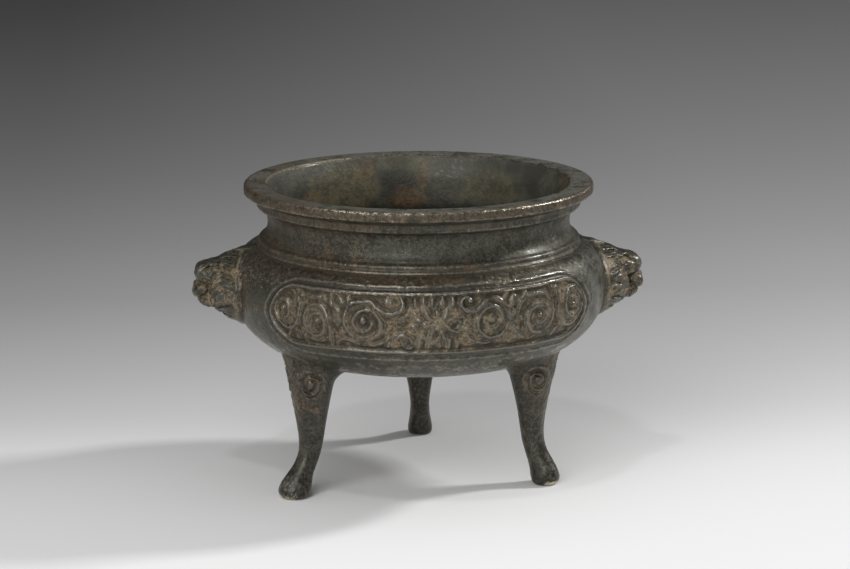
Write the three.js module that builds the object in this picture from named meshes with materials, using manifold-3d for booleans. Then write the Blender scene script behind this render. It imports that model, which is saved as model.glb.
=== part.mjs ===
// A tripod incense censer in cast bronze, in millimetres, with +Z up and the ground at z = 0.
// The bowl's front panel faces -Y, and the two lion masks face along +X and -X.
// The masks and the legs are castings of their own: each mask is riveted through the bowl's wall,
// and each leg has a tenon that passes through the bowl's floor.
import * as THREE from "three";
import { mergeVertices } from "three/addons/utils/BufferGeometryUtils.js";
import Module from "manifold-3d";

const wasm = await Module();
wasm.setup();

// Heights of the bowl, from the ground up
const standHeight = 35.5; // ground to the flat underside
const bellyHeight = 32.6; // underside to the shoulder step
const shoulderHeight = 4.1; // shoulder step to the foot of the neck, with its two beads
const neckHeight = 7.4; // foot of the neck to the fascia under the lip
const fasciaHeight = 2.5; // plain ring under the lip
const lipUnderRise = 1.1; // rise of the lip's slanting underside
const lipHeight = 2.9; // the lip's upright edge

// Radii of the bowl, with what stands proud of the neck given from the neck
const undersideRadius = 30;
const bellyRadius = 53.7;
const neckRadius = 43.2;
const beadProud = 2.3;
const shoulderProud = 3.7;
const fasciaProud = 3.1;
const lipProud = 6.8;
const mouthFlare = 3; // from the neck's inside to the inner edge of the lip's flat top
const wall = 3;
const beadGroove = 0.7; // depth of the groove between the two beads
const edgeRound = 0.5; // softened corners of the lip

// The two long cartouches: a sunk band, a raised edge inside it and a sunk ground that carries scrolls
const panelDrop = 2.2; // shoulder step to the band's top edge
const panelHeight = 20.8;
const bandWidth = 1.3;
const bandDepth = 0.35;
const edgeWidth = 0.9;
const groundDepth = 0.9;
const scrollRise = 1; // height of a scroll's crest over the ground
const scrollRoot = 0.4; // how far a scroll's foot is let into the ground
const scrollWidth = 2.4;
const panelTipAngle = THREE.MathUtils.degToRad(60); // from the panel's middle to its pointed end
const panelCornerAngle = THREE.MathUtils.degToRad(50.5); // from the middle to where the end begins
const tipRoundAngle = THREE.MathUtils.degToRad(0.6);

// The scrollwork on a cartouche's ground. Across is a share of half the panel's length, and every other
// share is one of half its height; start, sweep and lean are in degrees.
const voluteShares = [
  { across: -0.81, up: 0.1, start: 30, sweep: -450, reach: 0.5 },
  { across: -0.61, up: 0.02, start: -30, sweep: 450, reach: 0.46 },
  { across: -0.355, up: 0.09, start: 75, sweep: 450, reach: 0.53 },
  { across: 0.285, up: 0.11, start: 120, sweep: -450, reach: 0.53 },
  { across: 0.55, up: 0.06, start: 155, sweep: -450, reach: 0.53 },
  { across: 0.795, up: 0.09, start: 160, sweep: 450, reach: 0.54 },
];
const voluteShrinkShare = 0.72; // how much of its reach a volute loses on its way in
// Stems as places of (across, up), each with the ridge's width there
const stemShares = [
  [[-0.735, 0.8, 0.9], [-0.74, 0.34, 1]],
  [[-0.54, -0.72, 0.9], [-0.54, -0.2, 1]],
  [[-0.225, 0.48, 0.6], [-0.235, 0.74, 0.9], [-0.17, 0.66, 1], [-0.22, 0.36, 1], [-0.33, 0.6, 1]],
  [[0.18, 0.54, 0.6], [0.15, 0.76, 0.9], [0.135, 0.44, 1], [0.24, 0.58, 1]],
  [[0.675, 0.78, 0.9], [0.7, 0.28, 1]],
  [[-0.67, 0.62, 0.6], [-0.57, 0.68, 0.9], [-0.49, 0.36, 0.6]],
  [[0.15, -0.28, 0.6], [0.2, -0.56, 0.9], [0.34, -0.6, 0.6]],
  [[0.4, -0.1, 0.6], [0.47, -0.66, 0.9]],
];
// Leaves as places of (across, up) with half the leaf's length and its lean
const leafPlaceShares = [
  [-0.485, 0.04, 0.38, 115],
  [-0.915, 0.1, 0.3, 85],
  [-0.73, -0.56, 0.24, 50],
  [0.405, 0.36, 0.36, 82],
  [0.67, -0.5, 0.24, 55],
  [0.92, 0.05, 0.28, 90],
];
const flowerShares = { across: 0.003, up: 0.07, reach: 0.5, petal: 0.22 };
const petals = 7;
// Bosses as places of (across, up) with their radius
const bossShares = [
  [0.003, 0.07, 0.26],
  [0.14, 0.02, 0.2],
];

// The legs: each has its own compass angle, its ankle's share of the belly's radius, and its foot's
// outward kick as a share of the standing height
const legShares = [
  { name: "leg_front_left", angle: THREE.MathUtils.degToRad(210.7), ankle: 0.708, kick: 0.166 },
  { name: "leg_front_right", angle: THREE.MathUtils.degToRad(333.4), ankle: 0.655, kick: 0.101 },
  { name: "leg_rear", angle: THREE.MathUtils.degToRad(85.2), ankle: 0.698, kick: 0.132 },
];
const legDepth = 6.6; // along the radius, at the ankle
const legWidth = 6; // across, at the ankle
const tenonRadius = 2.6;

// The lion masks
const maskReach = 11.3; // from the belly to the tip of the muzzle
const maskWidth = 31;
const maskHeight = 22;
const maskDrop = 11.4; // from the shoulder step down to the mask's middle
const maneEdge = 1.4; // thickness of the mane where it ends on the belly
const maneLocks = 12;
const lockRise = 0.9; // height of a lock above the grooves beside it
const faceWidth = 16;
const faceHeight = 14.4;
const rivetRadius = 1.6;
const rivetHeadRadius = 3.2;
const rivetHeadHeight = 1.5;

const clearance = 0.3; // between pieces that seat on each other
const overrun = 1; // how far a cutter runs past what it cuts
const flatDepth = 0.05; // facets less than this out of line with each other are joined
const weldTolerance = 1e-4; // corners closer than this are one

const turns = 48; // facets round the bowl
const hollowTurns = 36; // and round its hollow

// Derived levels and radii
const undersideZ = standHeight;
const shoulderZ = undersideZ + bellyHeight;
const neckFootZ = shoulderZ + shoulderHeight;
const fasciaZ = neckFootZ + neckHeight;
const lipFootZ = fasciaZ + fasciaHeight;
const lipEdgeZ = lipFootZ + lipUnderRise;
const rimZ = lipEdgeZ + lipHeight;
const panelTopZ = shoulderZ - panelDrop;
const panelMiddleZ = panelTopZ - panelHeight / 2;
const maskZ = shoulderZ - maskDrop;
const shoulderRadius = neckRadius + shoulderProud;
const beadRadius = neckRadius + beadProud;
const fasciaRadius = neckRadius + fasciaProud;
const rimRadius = neckRadius + lipProud;
const mouthRadius = neckRadius - wall + mouthFlare;

const bronze = (colour) =>
  new THREE.MeshStandardMaterial({ color: colour, roughness: 0.45, metalness: 0.85 });
const bowlBronze = bronze(0x45453a);
const maskBronze = bronze(0x57493a);
const legBronze = bronze(0x3d3c33);
const rivetBronze = bronze(0x4a4438);

// A three.js geometry as a solid, with its shared corners merged and its empty triangles left out.
function solidOf(geometry) {
  const bare = geometry.clone();
  bare.deleteAttribute("normal");
  bare.deleteAttribute("uv");
  const merged = mergeVertices(bare, weldTolerance);
  const index = merged.index.array;
  const kept = [];
  for (let i = 0; i < index.length; i += 3) {
    const [a, b, c] = [index[i], index[i + 1], index[i + 2]];
    if (a !== b && b !== c && c !== a) kept.push(a, b, c);
  }
  return new wasm.Manifold(
    new wasm.Mesh({
      numProp: 3,
      vertProperties: new Float32Array(merged.attributes.position.array),
      triVerts: new Uint32Array(kept),
    }),
  );
}

// A solid as a named mesh.
function meshOf(name, solid, material) {
  const made = solid.getMesh();
  const geometry = new THREE.BufferGeometry();
  geometry.setAttribute("position", new THREE.BufferAttribute(new Float32Array(made.vertProperties), 3));
  geometry.setIndex(new THREE.BufferAttribute(new Uint32Array(made.triVerts), 1));
  geometry.computeVertexNormals();
  const mesh = new THREE.Mesh(geometry, material);
  mesh.name = name;
  return mesh;
}

// A profile of (radius, height) points turned round the Z axis.
function turned(points, facets = turns) {
  return solidOf(new THREE.LatheGeometry(points, facets).rotateX(Math.PI / 2));
}

// Sections, each a ring of as many points, joined in order and closed with a fan at each end.
function loft(sections) {
  const ring = sections[0].length;
  const corners = sections.flat();
  const first = corners.length;
  for (const section of [sections[0], sections[sections.length - 1]]) {
    const middle = new THREE.Vector3();
    section.forEach((point) => middle.add(point));
    corners.push(middle.divideScalar(ring));
  }
  const triangles = [];
  for (let s = 0; s < sections.length - 1; s += 1) {
    for (let i = 0; i < ring; i += 1) {
      const j = (i + 1) % ring;
      const [a, b, c, d] = [s * ring + i, s * ring + j, (s + 1) * ring + j, (s + 1) * ring + i];
      triangles.push(a, b, c, a, c, d);
    }
  }
  const last = (sections.length - 1) * ring;
  for (let i = 0; i < ring; i += 1) {
    const j = (i + 1) % ring;
    triangles.push(first, j, i, first + 1, last + i, last + j);
  }
  const geometry = new THREE.BufferGeometry().setFromPoints(corners);
  geometry.setIndex(triangles);
  return solidOf(geometry);
}

// A solid moved from a seat's frame (out along the radius, across, up) to its place round the bowl.
function placed(solid, angle) {
  return solid.transform(new THREE.Matrix4().makeRotationZ(angle).toArray());
}

// The belly's outer profile, from the axis under the floor to the shoulder step.
function bellyProfile() {
  const path = new THREE.Path();
  const bellyZ = undersideZ + 0.64 * bellyHeight;
  const swell = bellyRadius - undersideRadius;
  path.moveTo(0, undersideZ);
  path.lineTo(undersideRadius, undersideZ);
  path.bezierCurveTo(
    undersideRadius + 0.61 * swell,
    undersideZ + 0.02 * bellyHeight,
    bellyRadius,
    undersideZ + 0.32 * bellyHeight,
    bellyRadius,
    bellyZ,
  );
  path.bezierCurveTo(
    bellyRadius,
    undersideZ + 0.83 * bellyHeight,
    bellyRadius - 0.37 * (bellyRadius - shoulderRadius),
    undersideZ + 0.95 * bellyHeight,
    shoulderRadius,
    shoulderZ,
  );
  return path.getPoints(6);
}

// The profile above the belly: two beads with a groove between, the neck, the fascia and the lip.
function topProfile() {
  const path = new THREE.Path();
  const beadStep = shoulderHeight / 4;
  path.moveTo(beadRadius, shoulderZ + 0.5 * beadStep);
  path.quadraticCurveTo(beadRadius, shoulderZ + 1.6 * beadStep, beadRadius - beadGroove, shoulderZ + 2 * beadStep);
  path.quadraticCurveTo(
    beadRadius - 0.6 * beadGroove,
    shoulderZ + 3.2 * beadStep,
    (beadRadius + neckRadius) / 2 - beadGroove,
    neckFootZ - 0.5 * beadStep,
  );
  path.bezierCurveTo(
    neckRadius,
    neckFootZ + 0.15 * neckHeight,
    neckRadius,
    neckFootZ + 0.8 * neckHeight,
    (neckRadius + fasciaRadius) / 2,
    fasciaZ - 0.05 * neckHeight,
  );
  path.lineTo(fasciaRadius, fasciaZ + edgeRound);
  path.lineTo(fasciaRadius, lipFootZ);
  path.lineTo(rimRadius - edgeRound, lipEdgeZ - 0.4 * edgeRound);
  path.quadraticCurveTo(rimRadius, lipEdgeZ, rimRadius, lipEdgeZ + edgeRound);
  path.lineTo(rimRadius, rimZ - edgeRound);
  path.quadraticCurveTo(rimRadius, rimZ, rimRadius - edgeRound, rimZ);
  path.lineTo(mouthRadius, rimZ);
  return path.getPoints(3);
}

// The belly moved outward by a distance, for cutters and for the clearance round the bowl.
function grownProfile(distance) {
  const points = bellyProfile();
  const grown = points.map((point, i) => {
    const before = points[Math.max(i - 1, 0)];
    const after = points[Math.min(i + 1, points.length - 1)];
    const along = after.clone().sub(before).normalize();
    return new THREE.Vector2(point.x + along.y * distance, point.y - along.x * distance);
  });
  const top = grown[grown.length - 1];
  return [new THREE.Vector2(0, grown[0].y), ...grown.slice(1), new THREE.Vector2(0, top.y)];
}

// The hollow of the bowl, a wall's thickness inside the outer profile, open through the mouth.
function hollowProfile() {
  const path = new THREE.Path();
  const floorZ = undersideZ + wall;
  const bellyZ = undersideZ + 0.64 * bellyHeight;
  const floorRadius = undersideRadius - 0.6 * wall;
  const innerBelly = bellyRadius - wall;
  const innerNeck = neckRadius - wall;
  const swell = innerBelly - floorRadius;
  path.moveTo(0, floorZ);
  path.lineTo(floorRadius, floorZ);
  path.bezierCurveTo(
    floorRadius + 0.61 * swell,
    floorZ + 0.02 * bellyHeight,
    innerBelly,
    floorZ + 0.28 * bellyHeight,
    innerBelly,
    bellyZ,
  );
  path.bezierCurveTo(
    innerBelly,
    undersideZ + 0.83 * bellyHeight,
    shoulderRadius - 0.7 * wall,
    shoulderZ - 1.1 * wall,
    innerNeck + 0.2 * wall,
    shoulderZ,
  );
  path.quadraticCurveTo(innerNeck, shoulderZ + 0.5 * wall, innerNeck, neckFootZ + 0.3 * neckHeight);
  path.lineTo(innerNeck, lipFootZ);
  path.quadraticCurveTo(innerNeck, rimZ - edgeRound, mouthRadius, rimZ);
  path.lineTo(mouthRadius, rimZ + overrun);
  path.lineTo(0, rimZ + overrun);
  return path.getPoints(3);
}

// A bar bent round the bowl in the shape of a cartouche, drawn in by a margin from the frame's edge.
function cartoucheBar(margin) {
  const marginAngle = margin / bellyRadius;
  const tip = panelTipAngle - 1.25 * marginAngle;
  const corner = panelCornerAngle - 0.6 * marginAngle;
  const half = panelHeight / 2 - margin;
  const flats = 9;
  const angles = [-tip, -tip + tipRoundAngle];
  for (let i = 0; i <= flats; i += 1) angles.push(-corner + (2 * corner * i) / flats);
  angles.push(tip - tipRoundAngle, tip);
  const sections = angles.map((angle) => {
    const share = THREE.MathUtils.clamp((tip - Math.abs(angle)) / (tip - corner), 0, 1);
    const rise = half * (0.06 + 0.94 * share);
    const out = new THREE.Vector2(Math.sin(angle), -Math.cos(angle));
    const inside = bellyRadius - 3 * wall;
    const outside = bellyRadius + 2 * overrun;
    return [
      [inside, rise],
      [outside, rise],
      [outside, -rise],
      [inside, -rise],
    ].map(([radius, z]) => new THREE.Vector3(out.x * radius, out.y * radius, panelMiddleZ + z));
  });
  return loft(sections);
}

// The skin of the bowl down to a depth, which a cartouche bar then crops to a sunk step.
function skin(depth) {
  return turned(grownProfile(overrun)).subtract(turned(grownProfile(-depth)));
}

// The belly's radius at a height.
function bellyRadiusAt(z) {
  const points = bellyProfile();
  const found = points.findIndex((point) => point.y >= z && point.x > undersideRadius);
  const upper = found < 0 ? points.length - 1 : found;
  const [low, high] = [points[upper - 1], points[upper]];
  return THREE.MathUtils.mapLinear(Math.min(z, high.y), low.y, high.y, low.x, high.x);
}

// A place on the front panel, across and up in millimetres from its middle, at a height over its ground.
function onPanel(across, up, rise) {
  const turn = across / bellyRadius;
  const z = panelMiddleZ + up;
  const radius = bellyRadiusAt(z) - groundDepth + rise;
  return new THREE.Vector3(radius * Math.sin(turn), -radius * Math.cos(turn), z);
}

// A place given in shares, in millimetres.
function panelPlace([across, up]) {
  return new THREE.Vector2(across * panelTipAngle * bellyRadius, (up * panelHeight) / 2);
}

// A ridge with a crest along a path in millimetres, each step with its width as a share.
function ridge(path, widthShares) {
  const sections = path.map((place, i) => {
    const along = path[Math.min(i + 1, path.length - 1)].clone().sub(path[Math.max(i - 1, 0)]).normalize();
    const half = (widthShares[i] * scrollWidth) / 2;
    return [
      onPanel(place.x - along.y * half, place.y + along.x * half, -scrollRoot),
      onPanel(place.x, place.y, scrollRise),
      onPanel(place.x + along.y * half, place.y - along.x * half, -scrollRoot),
    ];
  });
  return loft(sections);
}

// A stem that winds inward round its middle.
function volute({ across, up, start, sweep, reach }) {
  const steps = 12;
  const middle = panelPlace([across, up]);
  const ways = Array.from({ length: steps + 1 }, (_, i) => i / steps);
  const path = ways.map((way) => {
    const away = (reach * (1 - voluteShrinkShare * way) * panelHeight) / 2;
    const turn = THREE.MathUtils.degToRad(start + sweep * way);
    return new THREE.Vector2(Math.cos(turn), Math.sin(turn)).multiplyScalar(away).add(middle);
  });
  return ridge(path, ways.map((way) => 1 - 0.4 * way ** 2));
}

// A leaf, pointed at both ends.
function leaf(middle, half, turn) {
  const reach = new THREE.Vector2(Math.cos(turn), Math.sin(turn)).multiplyScalar((half * panelHeight) / 2);
  return ridge([middle.clone().sub(reach), middle, middle.clone().add(reach)], [0.2, 1, 0.2]);
}

// A low boss with a flat top.
function boss([across, up, radius]) {
  const corners = 7;
  const middle = panelPlace([across, up]);
  const ring = (share, rise) =>
    Array.from({ length: corners }, (_, i) => {
      const turn = (2 * Math.PI * i) / corners;
      const away = (share * radius * panelHeight) / 2;
      return onPanel(middle.x + away * Math.cos(turn), middle.y + away * Math.sin(turn), rise);
    });
  return loft([ring(1, -scrollRoot), ring(0.6, scrollRise)]);
}

// All the scrollwork of the front panel.
function scrollwork() {
  const flower = panelPlace([flowerShares.across, flowerShares.up]);
  const petalTurns = Array.from({ length: petals }, (_, i) => (2 * Math.PI * (i + 0.5)) / petals);
  const petalPieces = petalTurns.map((turn) => {
    const out = new THREE.Vector2(Math.cos(turn), Math.sin(turn));
    const middle = out.multiplyScalar((flowerShares.reach * panelHeight) / 2).add(flower);
    return leaf(middle, flowerShares.petal, turn);
  });
  return wasm.Manifold.union([
    ...voluteShares.map(volute),
    ...stemShares.map((places) => ridge(places.map(panelPlace), places.map(([, , width]) => width))),
    ...leafPlaceShares.map(([across, up, half, lean]) =>
      leaf(panelPlace([across, up]), half, THREE.MathUtils.degToRad(lean)),
    ),
    ...petalPieces,
    ...bossShares.map(boss),
  ]);
}

// A rod along the radius at a mask's height.
function radialRod(radius, from, to, facets = 12) {
  const rod = new THREE.CylinderGeometry(radius, radius, to - from, facets);
  rod.rotateZ(-Math.PI / 2).translate((from + to) / 2, 0, maskZ);
  return solidOf(rod);
}

// An upright rod at a distance from the axis.
function uprightRod(radius, out, from, to, facets = 12) {
  const rod = new THREE.CylinderGeometry(radius, radius, to - from, facets);
  rod.rotateX(Math.PI / 2).translate(out, 0, (from + to) / 2);
  return solidOf(rod);
}

const keepOut = turned(grownProfile(clearance));
const hollow = turned(hollowProfile(), hollowTurns);
const maskAngles = { left: Math.PI, right: 0 };

function bowl() {
  const outer = [...bellyProfile(), ...topProfile(), new THREE.Vector2(0, rimZ)];
  let made = turned(outer).subtract(hollow);
  const band = skin(bandDepth).intersect(cartoucheBar(0).subtract(cartoucheBar(bandWidth)));
  const ground = skin(groundDepth).intersect(cartoucheBar(bandWidth + edgeWidth));
  const scrolls = scrollwork();
  for (const angle of [0, Math.PI]) {
    made = made.subtract(placed(band.add(ground), angle)).add(placed(scrolls, angle));
  }
  const rivetHole = radialRod(rivetRadius + clearance, bellyRadius - 2 * wall, bellyRadius + overrun);
  for (const angle of Object.values(maskAngles)) made = made.subtract(placed(rivetHole, angle));
  for (const { angle, ankle } of legShares) {
    const hole = uprightRod(
      tenonRadius + clearance,
      ankle * bellyRadius,
      standHeight - overrun,
      standHeight + 3 * wall,
    );
    made = made.subtract(placed(hole, angle));
  }
  return made.asOriginal().simplify(flatDepth);
}

// A leg's stations, from the sole up: height, kick of the foot, depth and width, as shares.
const legHeightShares = [0, 0.015, 0.06, 0.12, 0.19, 0.27, 0.35, 0.45, 0.57, 0.7, 0.82, 0.91, 0.97, 1.04, 1.14, 1.26];
const legKickShares = [1, 1.02, 0.99, 0.83, 0.51, 0.19, 0.05, 0.01, 0.02, 0.01, -0.01, -0.03, -0.08, -0.09, 0, 0.1];
const legDepthShares = [0.95, 1.15, 1.34, 1.32, 1.13, 1, 0.97, 1.01, 1.15, 1.4, 1.68, 2.02, 2.45, 2.9, 3.1, 3.1];
const legWidthShares = [0.94, 1.13, 1.27, 1.22, 1.06, 0.97, 1.01, 1.17, 1.42, 1.68, 1.86, 2.04, 2.3, 2.6, 2.8, 2.8];

// A cabriole leg in its seat's frame: a slim ankle, a kicked rounded foot and a broad knee.
function leg({ name, angle, ankle, kick }) {
  const around = 16;
  const ankleRadius = ankle * bellyRadius;
  const sections = legHeightShares.map((heightShare, s) => {
    const out = ankleRadius + kick * standHeight * legKickShares[s];
    const halfDepth = (legDepth / 2) * legDepthShares[s];
    const halfWidth = (legWidth / 2) * legWidthShares[s];
    return Array.from({ length: around }, (_, i) => {
      const turn = (2 * Math.PI * i) / around;
      const squareness = 0.86;
      const x = Math.sign(Math.cos(turn)) * Math.abs(Math.cos(turn)) ** squareness;
      const y = Math.sign(Math.sin(turn)) * Math.abs(Math.sin(turn)) ** squareness;
      return new THREE.Vector3(out + halfDepth * x, halfWidth * y, standHeight * heightShare);
    });
  });
  const shaft = loft(sections).subtract(keepOut);
  const tenon = uprightRod(tenonRadius, ankleRadius, 0.7 * standHeight, standHeight + 3 * wall).subtract(hollow);
  return meshOf(name, placed(shaft.add(tenon), angle), legBronze);
}

// The mane's rings: the way from its edge on the belly to the back of the face, and the locks' rise.
const maneWayShares = [0, 0.16, 0.42, 0.7, 1];
const maneLockShares = [0, 0.9, 1, 0.8, 0];
const faceOutShare = 0.42; // how far out the mane meets the face

// The face's rounded forms: place (out, across, up) and half sizes, as shares of the mask's sizes.
const faceFormShares = {
  skull: { place: [0.34, 0, 0.14], size: [0.47, 0.47, 0.58] },
  brow: { place: [0.67, 0.15, 0.37], size: [0.27, 0.19, 0.26], paired: true },
  browArch: { place: [0.55, 0.3, 0.46], size: [0.25, 0.14, 0.11], paired: true },
  eye: { place: [0.56, 0.34, 0.24], size: [0.16, 0.1, 0.15], paired: true },
  bridge: { place: [0.73, 0, 0.14], size: [0.19, 0.1, 0.24] },
  muzzle: { place: [0.68, 0, -0.12], size: [0.28, 0.26, 0.23] },
  nose: { place: [0.91, 0, -0.06], size: [0.08, 0.11, 0.11] },
  flew: { place: [0.77, 0.14, -0.22], size: [0.2, 0.14, 0.17], paired: true },
  chin: { place: [0.6, 0, -0.44], size: [0.22, 0.19, 0.14] },
  cheek: { place: [0.38, 0.31, -0.22], size: [0.29, 0.23, 0.36], paired: true },
};
const mouthShares = { out: 0.76, up: -0.29, deep: 0.42, across: 0.3, thick: 0.03 };
const mouthSlant = THREE.MathUtils.degToRad(34); // the mouth's corners lie higher than its front

// The mane in its seat's frame: a skirt that lies on the belly at its edge and rises to the face.
function mane() {
  const around = 3 * maneLocks;
  const ring = (way, lift, rise) =>
    Array.from({ length: around }, (_, i) => {
      const turn = (2 * Math.PI * i) / around;
      const across = (maskWidth / 2) * Math.cos(turn);
      const z = maskZ + (maskHeight / 2) * Math.sin(turn);
      const radius = bellyRadiusAt(z) + lift;
      const edge = new THREE.Vector3(Math.sqrt(radius ** 2 - across ** 2), across, z);
      const face = new THREE.Vector3(
        bellyRadius + faceOutShare * maskReach,
        (faceWidth / 2) * Math.cos(turn),
        maskZ + (faceHeight / 2) * Math.sin(turn),
      );
      const lock = lockRise * rise * (0.5 + 0.5 * Math.cos(maneLocks * turn));
      return edge.lerp(face, way).add(new THREE.Vector3(lock, 0, 0));
    });
  const rings = maneWayShares.map((way, i) => ring(way, maneEdge, maneLockShares[i]));
  return loft([ring(0, -clearance, 0), ...rings]);
}

function ellipsoid(place, size) {
  const ball = new THREE.SphereGeometry(1, 10, 5);
  ball.rotateX(Math.PI / 2).scale(...size).translate(...place);
  return solidOf(ball);
}

// A lion mask in its seat's frame: the mane, a domed brow over round eyes, and a short muzzle.
function mask(name, angle) {
  const [halfWidth, halfHeight] = [maskWidth / 2, maskHeight / 2];
  let made = mane();
  for (const { place, size, paired } of Object.values(faceFormShares)) {
    const half = [size[0] * maskReach, size[1] * halfWidth, size[2] * halfHeight];
    for (const side of paired ? [-1, 1] : [0]) {
      const across = side * place[1] * halfWidth;
      const centre = [bellyRadius + place[0] * maskReach, across, maskZ + place[2] * halfHeight];
      made = made.add(ellipsoid(centre, half));
    }
  }
  const mouth = new THREE.BoxGeometry(
    mouthShares.deep * maskReach,
    mouthShares.across * maskWidth,
    mouthShares.thick * maskHeight,
  );
  mouth.rotateY(mouthSlant);
  mouth.translate(bellyRadius + mouthShares.out * maskReach, 0, maskZ + mouthShares.up * halfHeight);
  const socketEnd = bellyRadius + maskReach / 2 + clearance;
  const socket = radialRod(rivetRadius + clearance, bellyRadius - 2 * wall, socketEnd);
  made = made.subtract(solidOf(mouth)).subtract(keepOut).subtract(socket);
  return meshOf(name, placed(made, angle), maskBronze);
}

// A rivet in its seat's frame: a domed head bedded against the wall and a shank that ends in the mask.
function rivet(name, angle) {
  const innerWall = bellyRadius - wall;
  const headTop = innerWall - clearance - rivetHeadHeight;
  const profile = new THREE.Path();
  profile.moveTo(0, 0);
  profile.quadraticCurveTo(rivetHeadRadius, 0, rivetHeadRadius, rivetHeadHeight);
  profile.lineTo(rivetHeadRadius, rivetHeadHeight + clearance);
  profile.lineTo(0, rivetHeadHeight + clearance);
  const dome = new THREE.LatheGeometry(profile.getPoints(3), 12);
  dome.rotateZ(-Math.PI / 2).translate(headTop, 0, maskZ);
  const head = solidOf(dome).intersect(hollow.translate([-clearance, 0, 0]));
  const shank = radialRod(rivetRadius, innerWall - rivetHeadHeight, bellyRadius + maskReach / 2);
  return meshOf(name, placed(head.add(shank), angle), rivetBronze);
}

const censer = new THREE.Group();
censer.add(meshOf("bowl", bowl(), bowlBronze));
censer.add(...legShares.map(leg));
for (const [side, angle] of Object.entries(maskAngles)) {
  censer.add(mask(`lion_mask_${side}`, angle));
  censer.add(rivet(`mask_rivet_${side}`, angle));
}

export default censer;
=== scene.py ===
"""Looks of a cast bronze tripod censer: relief, patina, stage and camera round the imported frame.

Lengths in the shape code are in millimetres and are turned into metres when a mesh is made.
"""
import math

import bpy
import numpy as np
from mathutils import Matrix, Vector


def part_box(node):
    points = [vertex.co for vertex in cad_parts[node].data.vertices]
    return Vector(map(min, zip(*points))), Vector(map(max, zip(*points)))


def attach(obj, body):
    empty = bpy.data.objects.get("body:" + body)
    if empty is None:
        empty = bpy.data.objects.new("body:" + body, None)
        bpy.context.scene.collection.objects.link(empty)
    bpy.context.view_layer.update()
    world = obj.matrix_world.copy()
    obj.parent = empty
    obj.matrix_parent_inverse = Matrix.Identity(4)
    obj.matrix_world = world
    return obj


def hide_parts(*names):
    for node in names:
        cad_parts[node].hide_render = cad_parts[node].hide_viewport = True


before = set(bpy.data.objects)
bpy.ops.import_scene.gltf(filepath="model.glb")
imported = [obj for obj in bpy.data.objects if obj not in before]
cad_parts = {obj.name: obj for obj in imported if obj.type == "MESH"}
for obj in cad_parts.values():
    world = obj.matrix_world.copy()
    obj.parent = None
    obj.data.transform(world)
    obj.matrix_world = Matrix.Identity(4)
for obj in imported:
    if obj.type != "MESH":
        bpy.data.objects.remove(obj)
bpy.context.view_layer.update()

bl_info = {
    "name": "Tripod censer",
    "version": (1, 0, 0),
    "blender": (4, 5, 0),
    "location": "3D View > Sidebar > Censer",
    "description": "Models the relief, castings and patina of a small bronze tripod censer",
    "category": "Add Mesh",
}

MM = 0.001

# The belly's outside, as two curves of (radius, height) from the underside to the shoulder step
BELLY_LOWER = ((30.0, 35.9), (43.0, 36.9), (53.7, 44.5), (53.7, 56.5))
BELLY_UPPER = ((53.7, 56.5), (53.8, 62.2), (51.8, 66.8), (47.0, 68.2))
# Shoulder beads, neck, fascia, lip and mouth
COLLAR = (
    (46.6, 68.0), (46.62, 68.3), (46.5, 68.6), (46.2, 68.85), (45.9, 69.05), (45.8, 69.3), (45.95, 69.6),
    (45.98, 69.95), (45.75, 70.3), (45.3, 70.6), (44.85, 70.8), (44.6, 71.05), (44.4, 71.4), (44.05, 71.8),
    (43.65, 72.4), (43.35, 73.3), (43.2, 74.4), (43.22, 75.5), (43.4, 76.7), (43.8, 77.8), (44.25, 78.6),
    (44.75, 79.05), (45.5, 79.25), (46.1, 79.4), (46.3, 79.75), (46.32, 80.4), (46.35, 81.2), (46.5, 81.8),
    (47.1, 82.2), (48.2, 82.6), (49.2, 82.95), (49.75, 83.2), (49.95, 83.55), (49.98, 84.2), (49.95, 84.9),
    (49.9, 85.4), (49.65, 85.8), (49.2, 86.02), (48.4, 86.1), (46.8, 86.1), (45.0, 86.06), (43.9, 85.98),
    (43.3, 85.8), (42.9, 85.4), (42.55, 84.7),
)
HOLLOW = (
    (42.1, 83.6), (41.5, 82.0), (41.0, 80.0), (40.7, 77.5), (40.6, 75.0), (40.6, 72.5),
    (40.9, 70.6), (41.9, 69.0), (44.0, 67.4), (46.6, 65.6), (48.8, 63.2), (50.1, 60.2),
    (50.6, 57.0), (50.4, 53.0), (49.4, 49.4), (47.3, 46.0), (43.8, 42.6), (39.0, 40.2),
    (34.0, 39.1), (28.0, 38.6), (20.0, 38.5), (10.0, 38.5),
)
UNDERSIDE_Z = BELLY_LOWER[0][1]
UNDERSIDE_EDGE = 26.0
PANEL_MIDDLE_Z = 55.5
# Radius at which distances across a cartouche are measured
PANEL_RADIUS = 53.0

# Steps in a stretch between two given points of a smooth line
STRETCH_STEPS = 12
NOISE_TABLE_SIZE = 8192
NOISE_KEYS = (73856093, 19349663, 83492791)
# Layers of the cast skin: (size of the lumps, share of their height)
SKIN_WAVES = ((9.0, 0.5), (3.2, 0.3))
SKIN_GRAIN = ((1.1, 0.32), (0.55, 0.2))
PIT_SIZE = 1.6
PIT_SHARE = 1.3
# What the patina reads from each mesh; the last lays a painted sheen above zero and darkens below zero
MARKS = ("fine_hollow", "broad_hollow", "soiled", "browned", "rubbed", "paled")


def smooth(low, high, value):
    """0 below low, 1 above high, and an even S between."""
    share = np.clip((value - low) / (high - low), 0.0, 1.0)
    return share * share * (3.0 - 2.0 * share)


def bezier(corners, count):
    """Points on the curve that the four corners give."""
    t = np.linspace(0.0, 1.0, count)[:, None]
    a, b, c, d = (np.array(corner) for corner in corners)
    return (1 - t) ** 3 * a + 3 * (1 - t) ** 2 * t * b + 3 * (1 - t) * t**2 * c + t**3 * d


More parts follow.
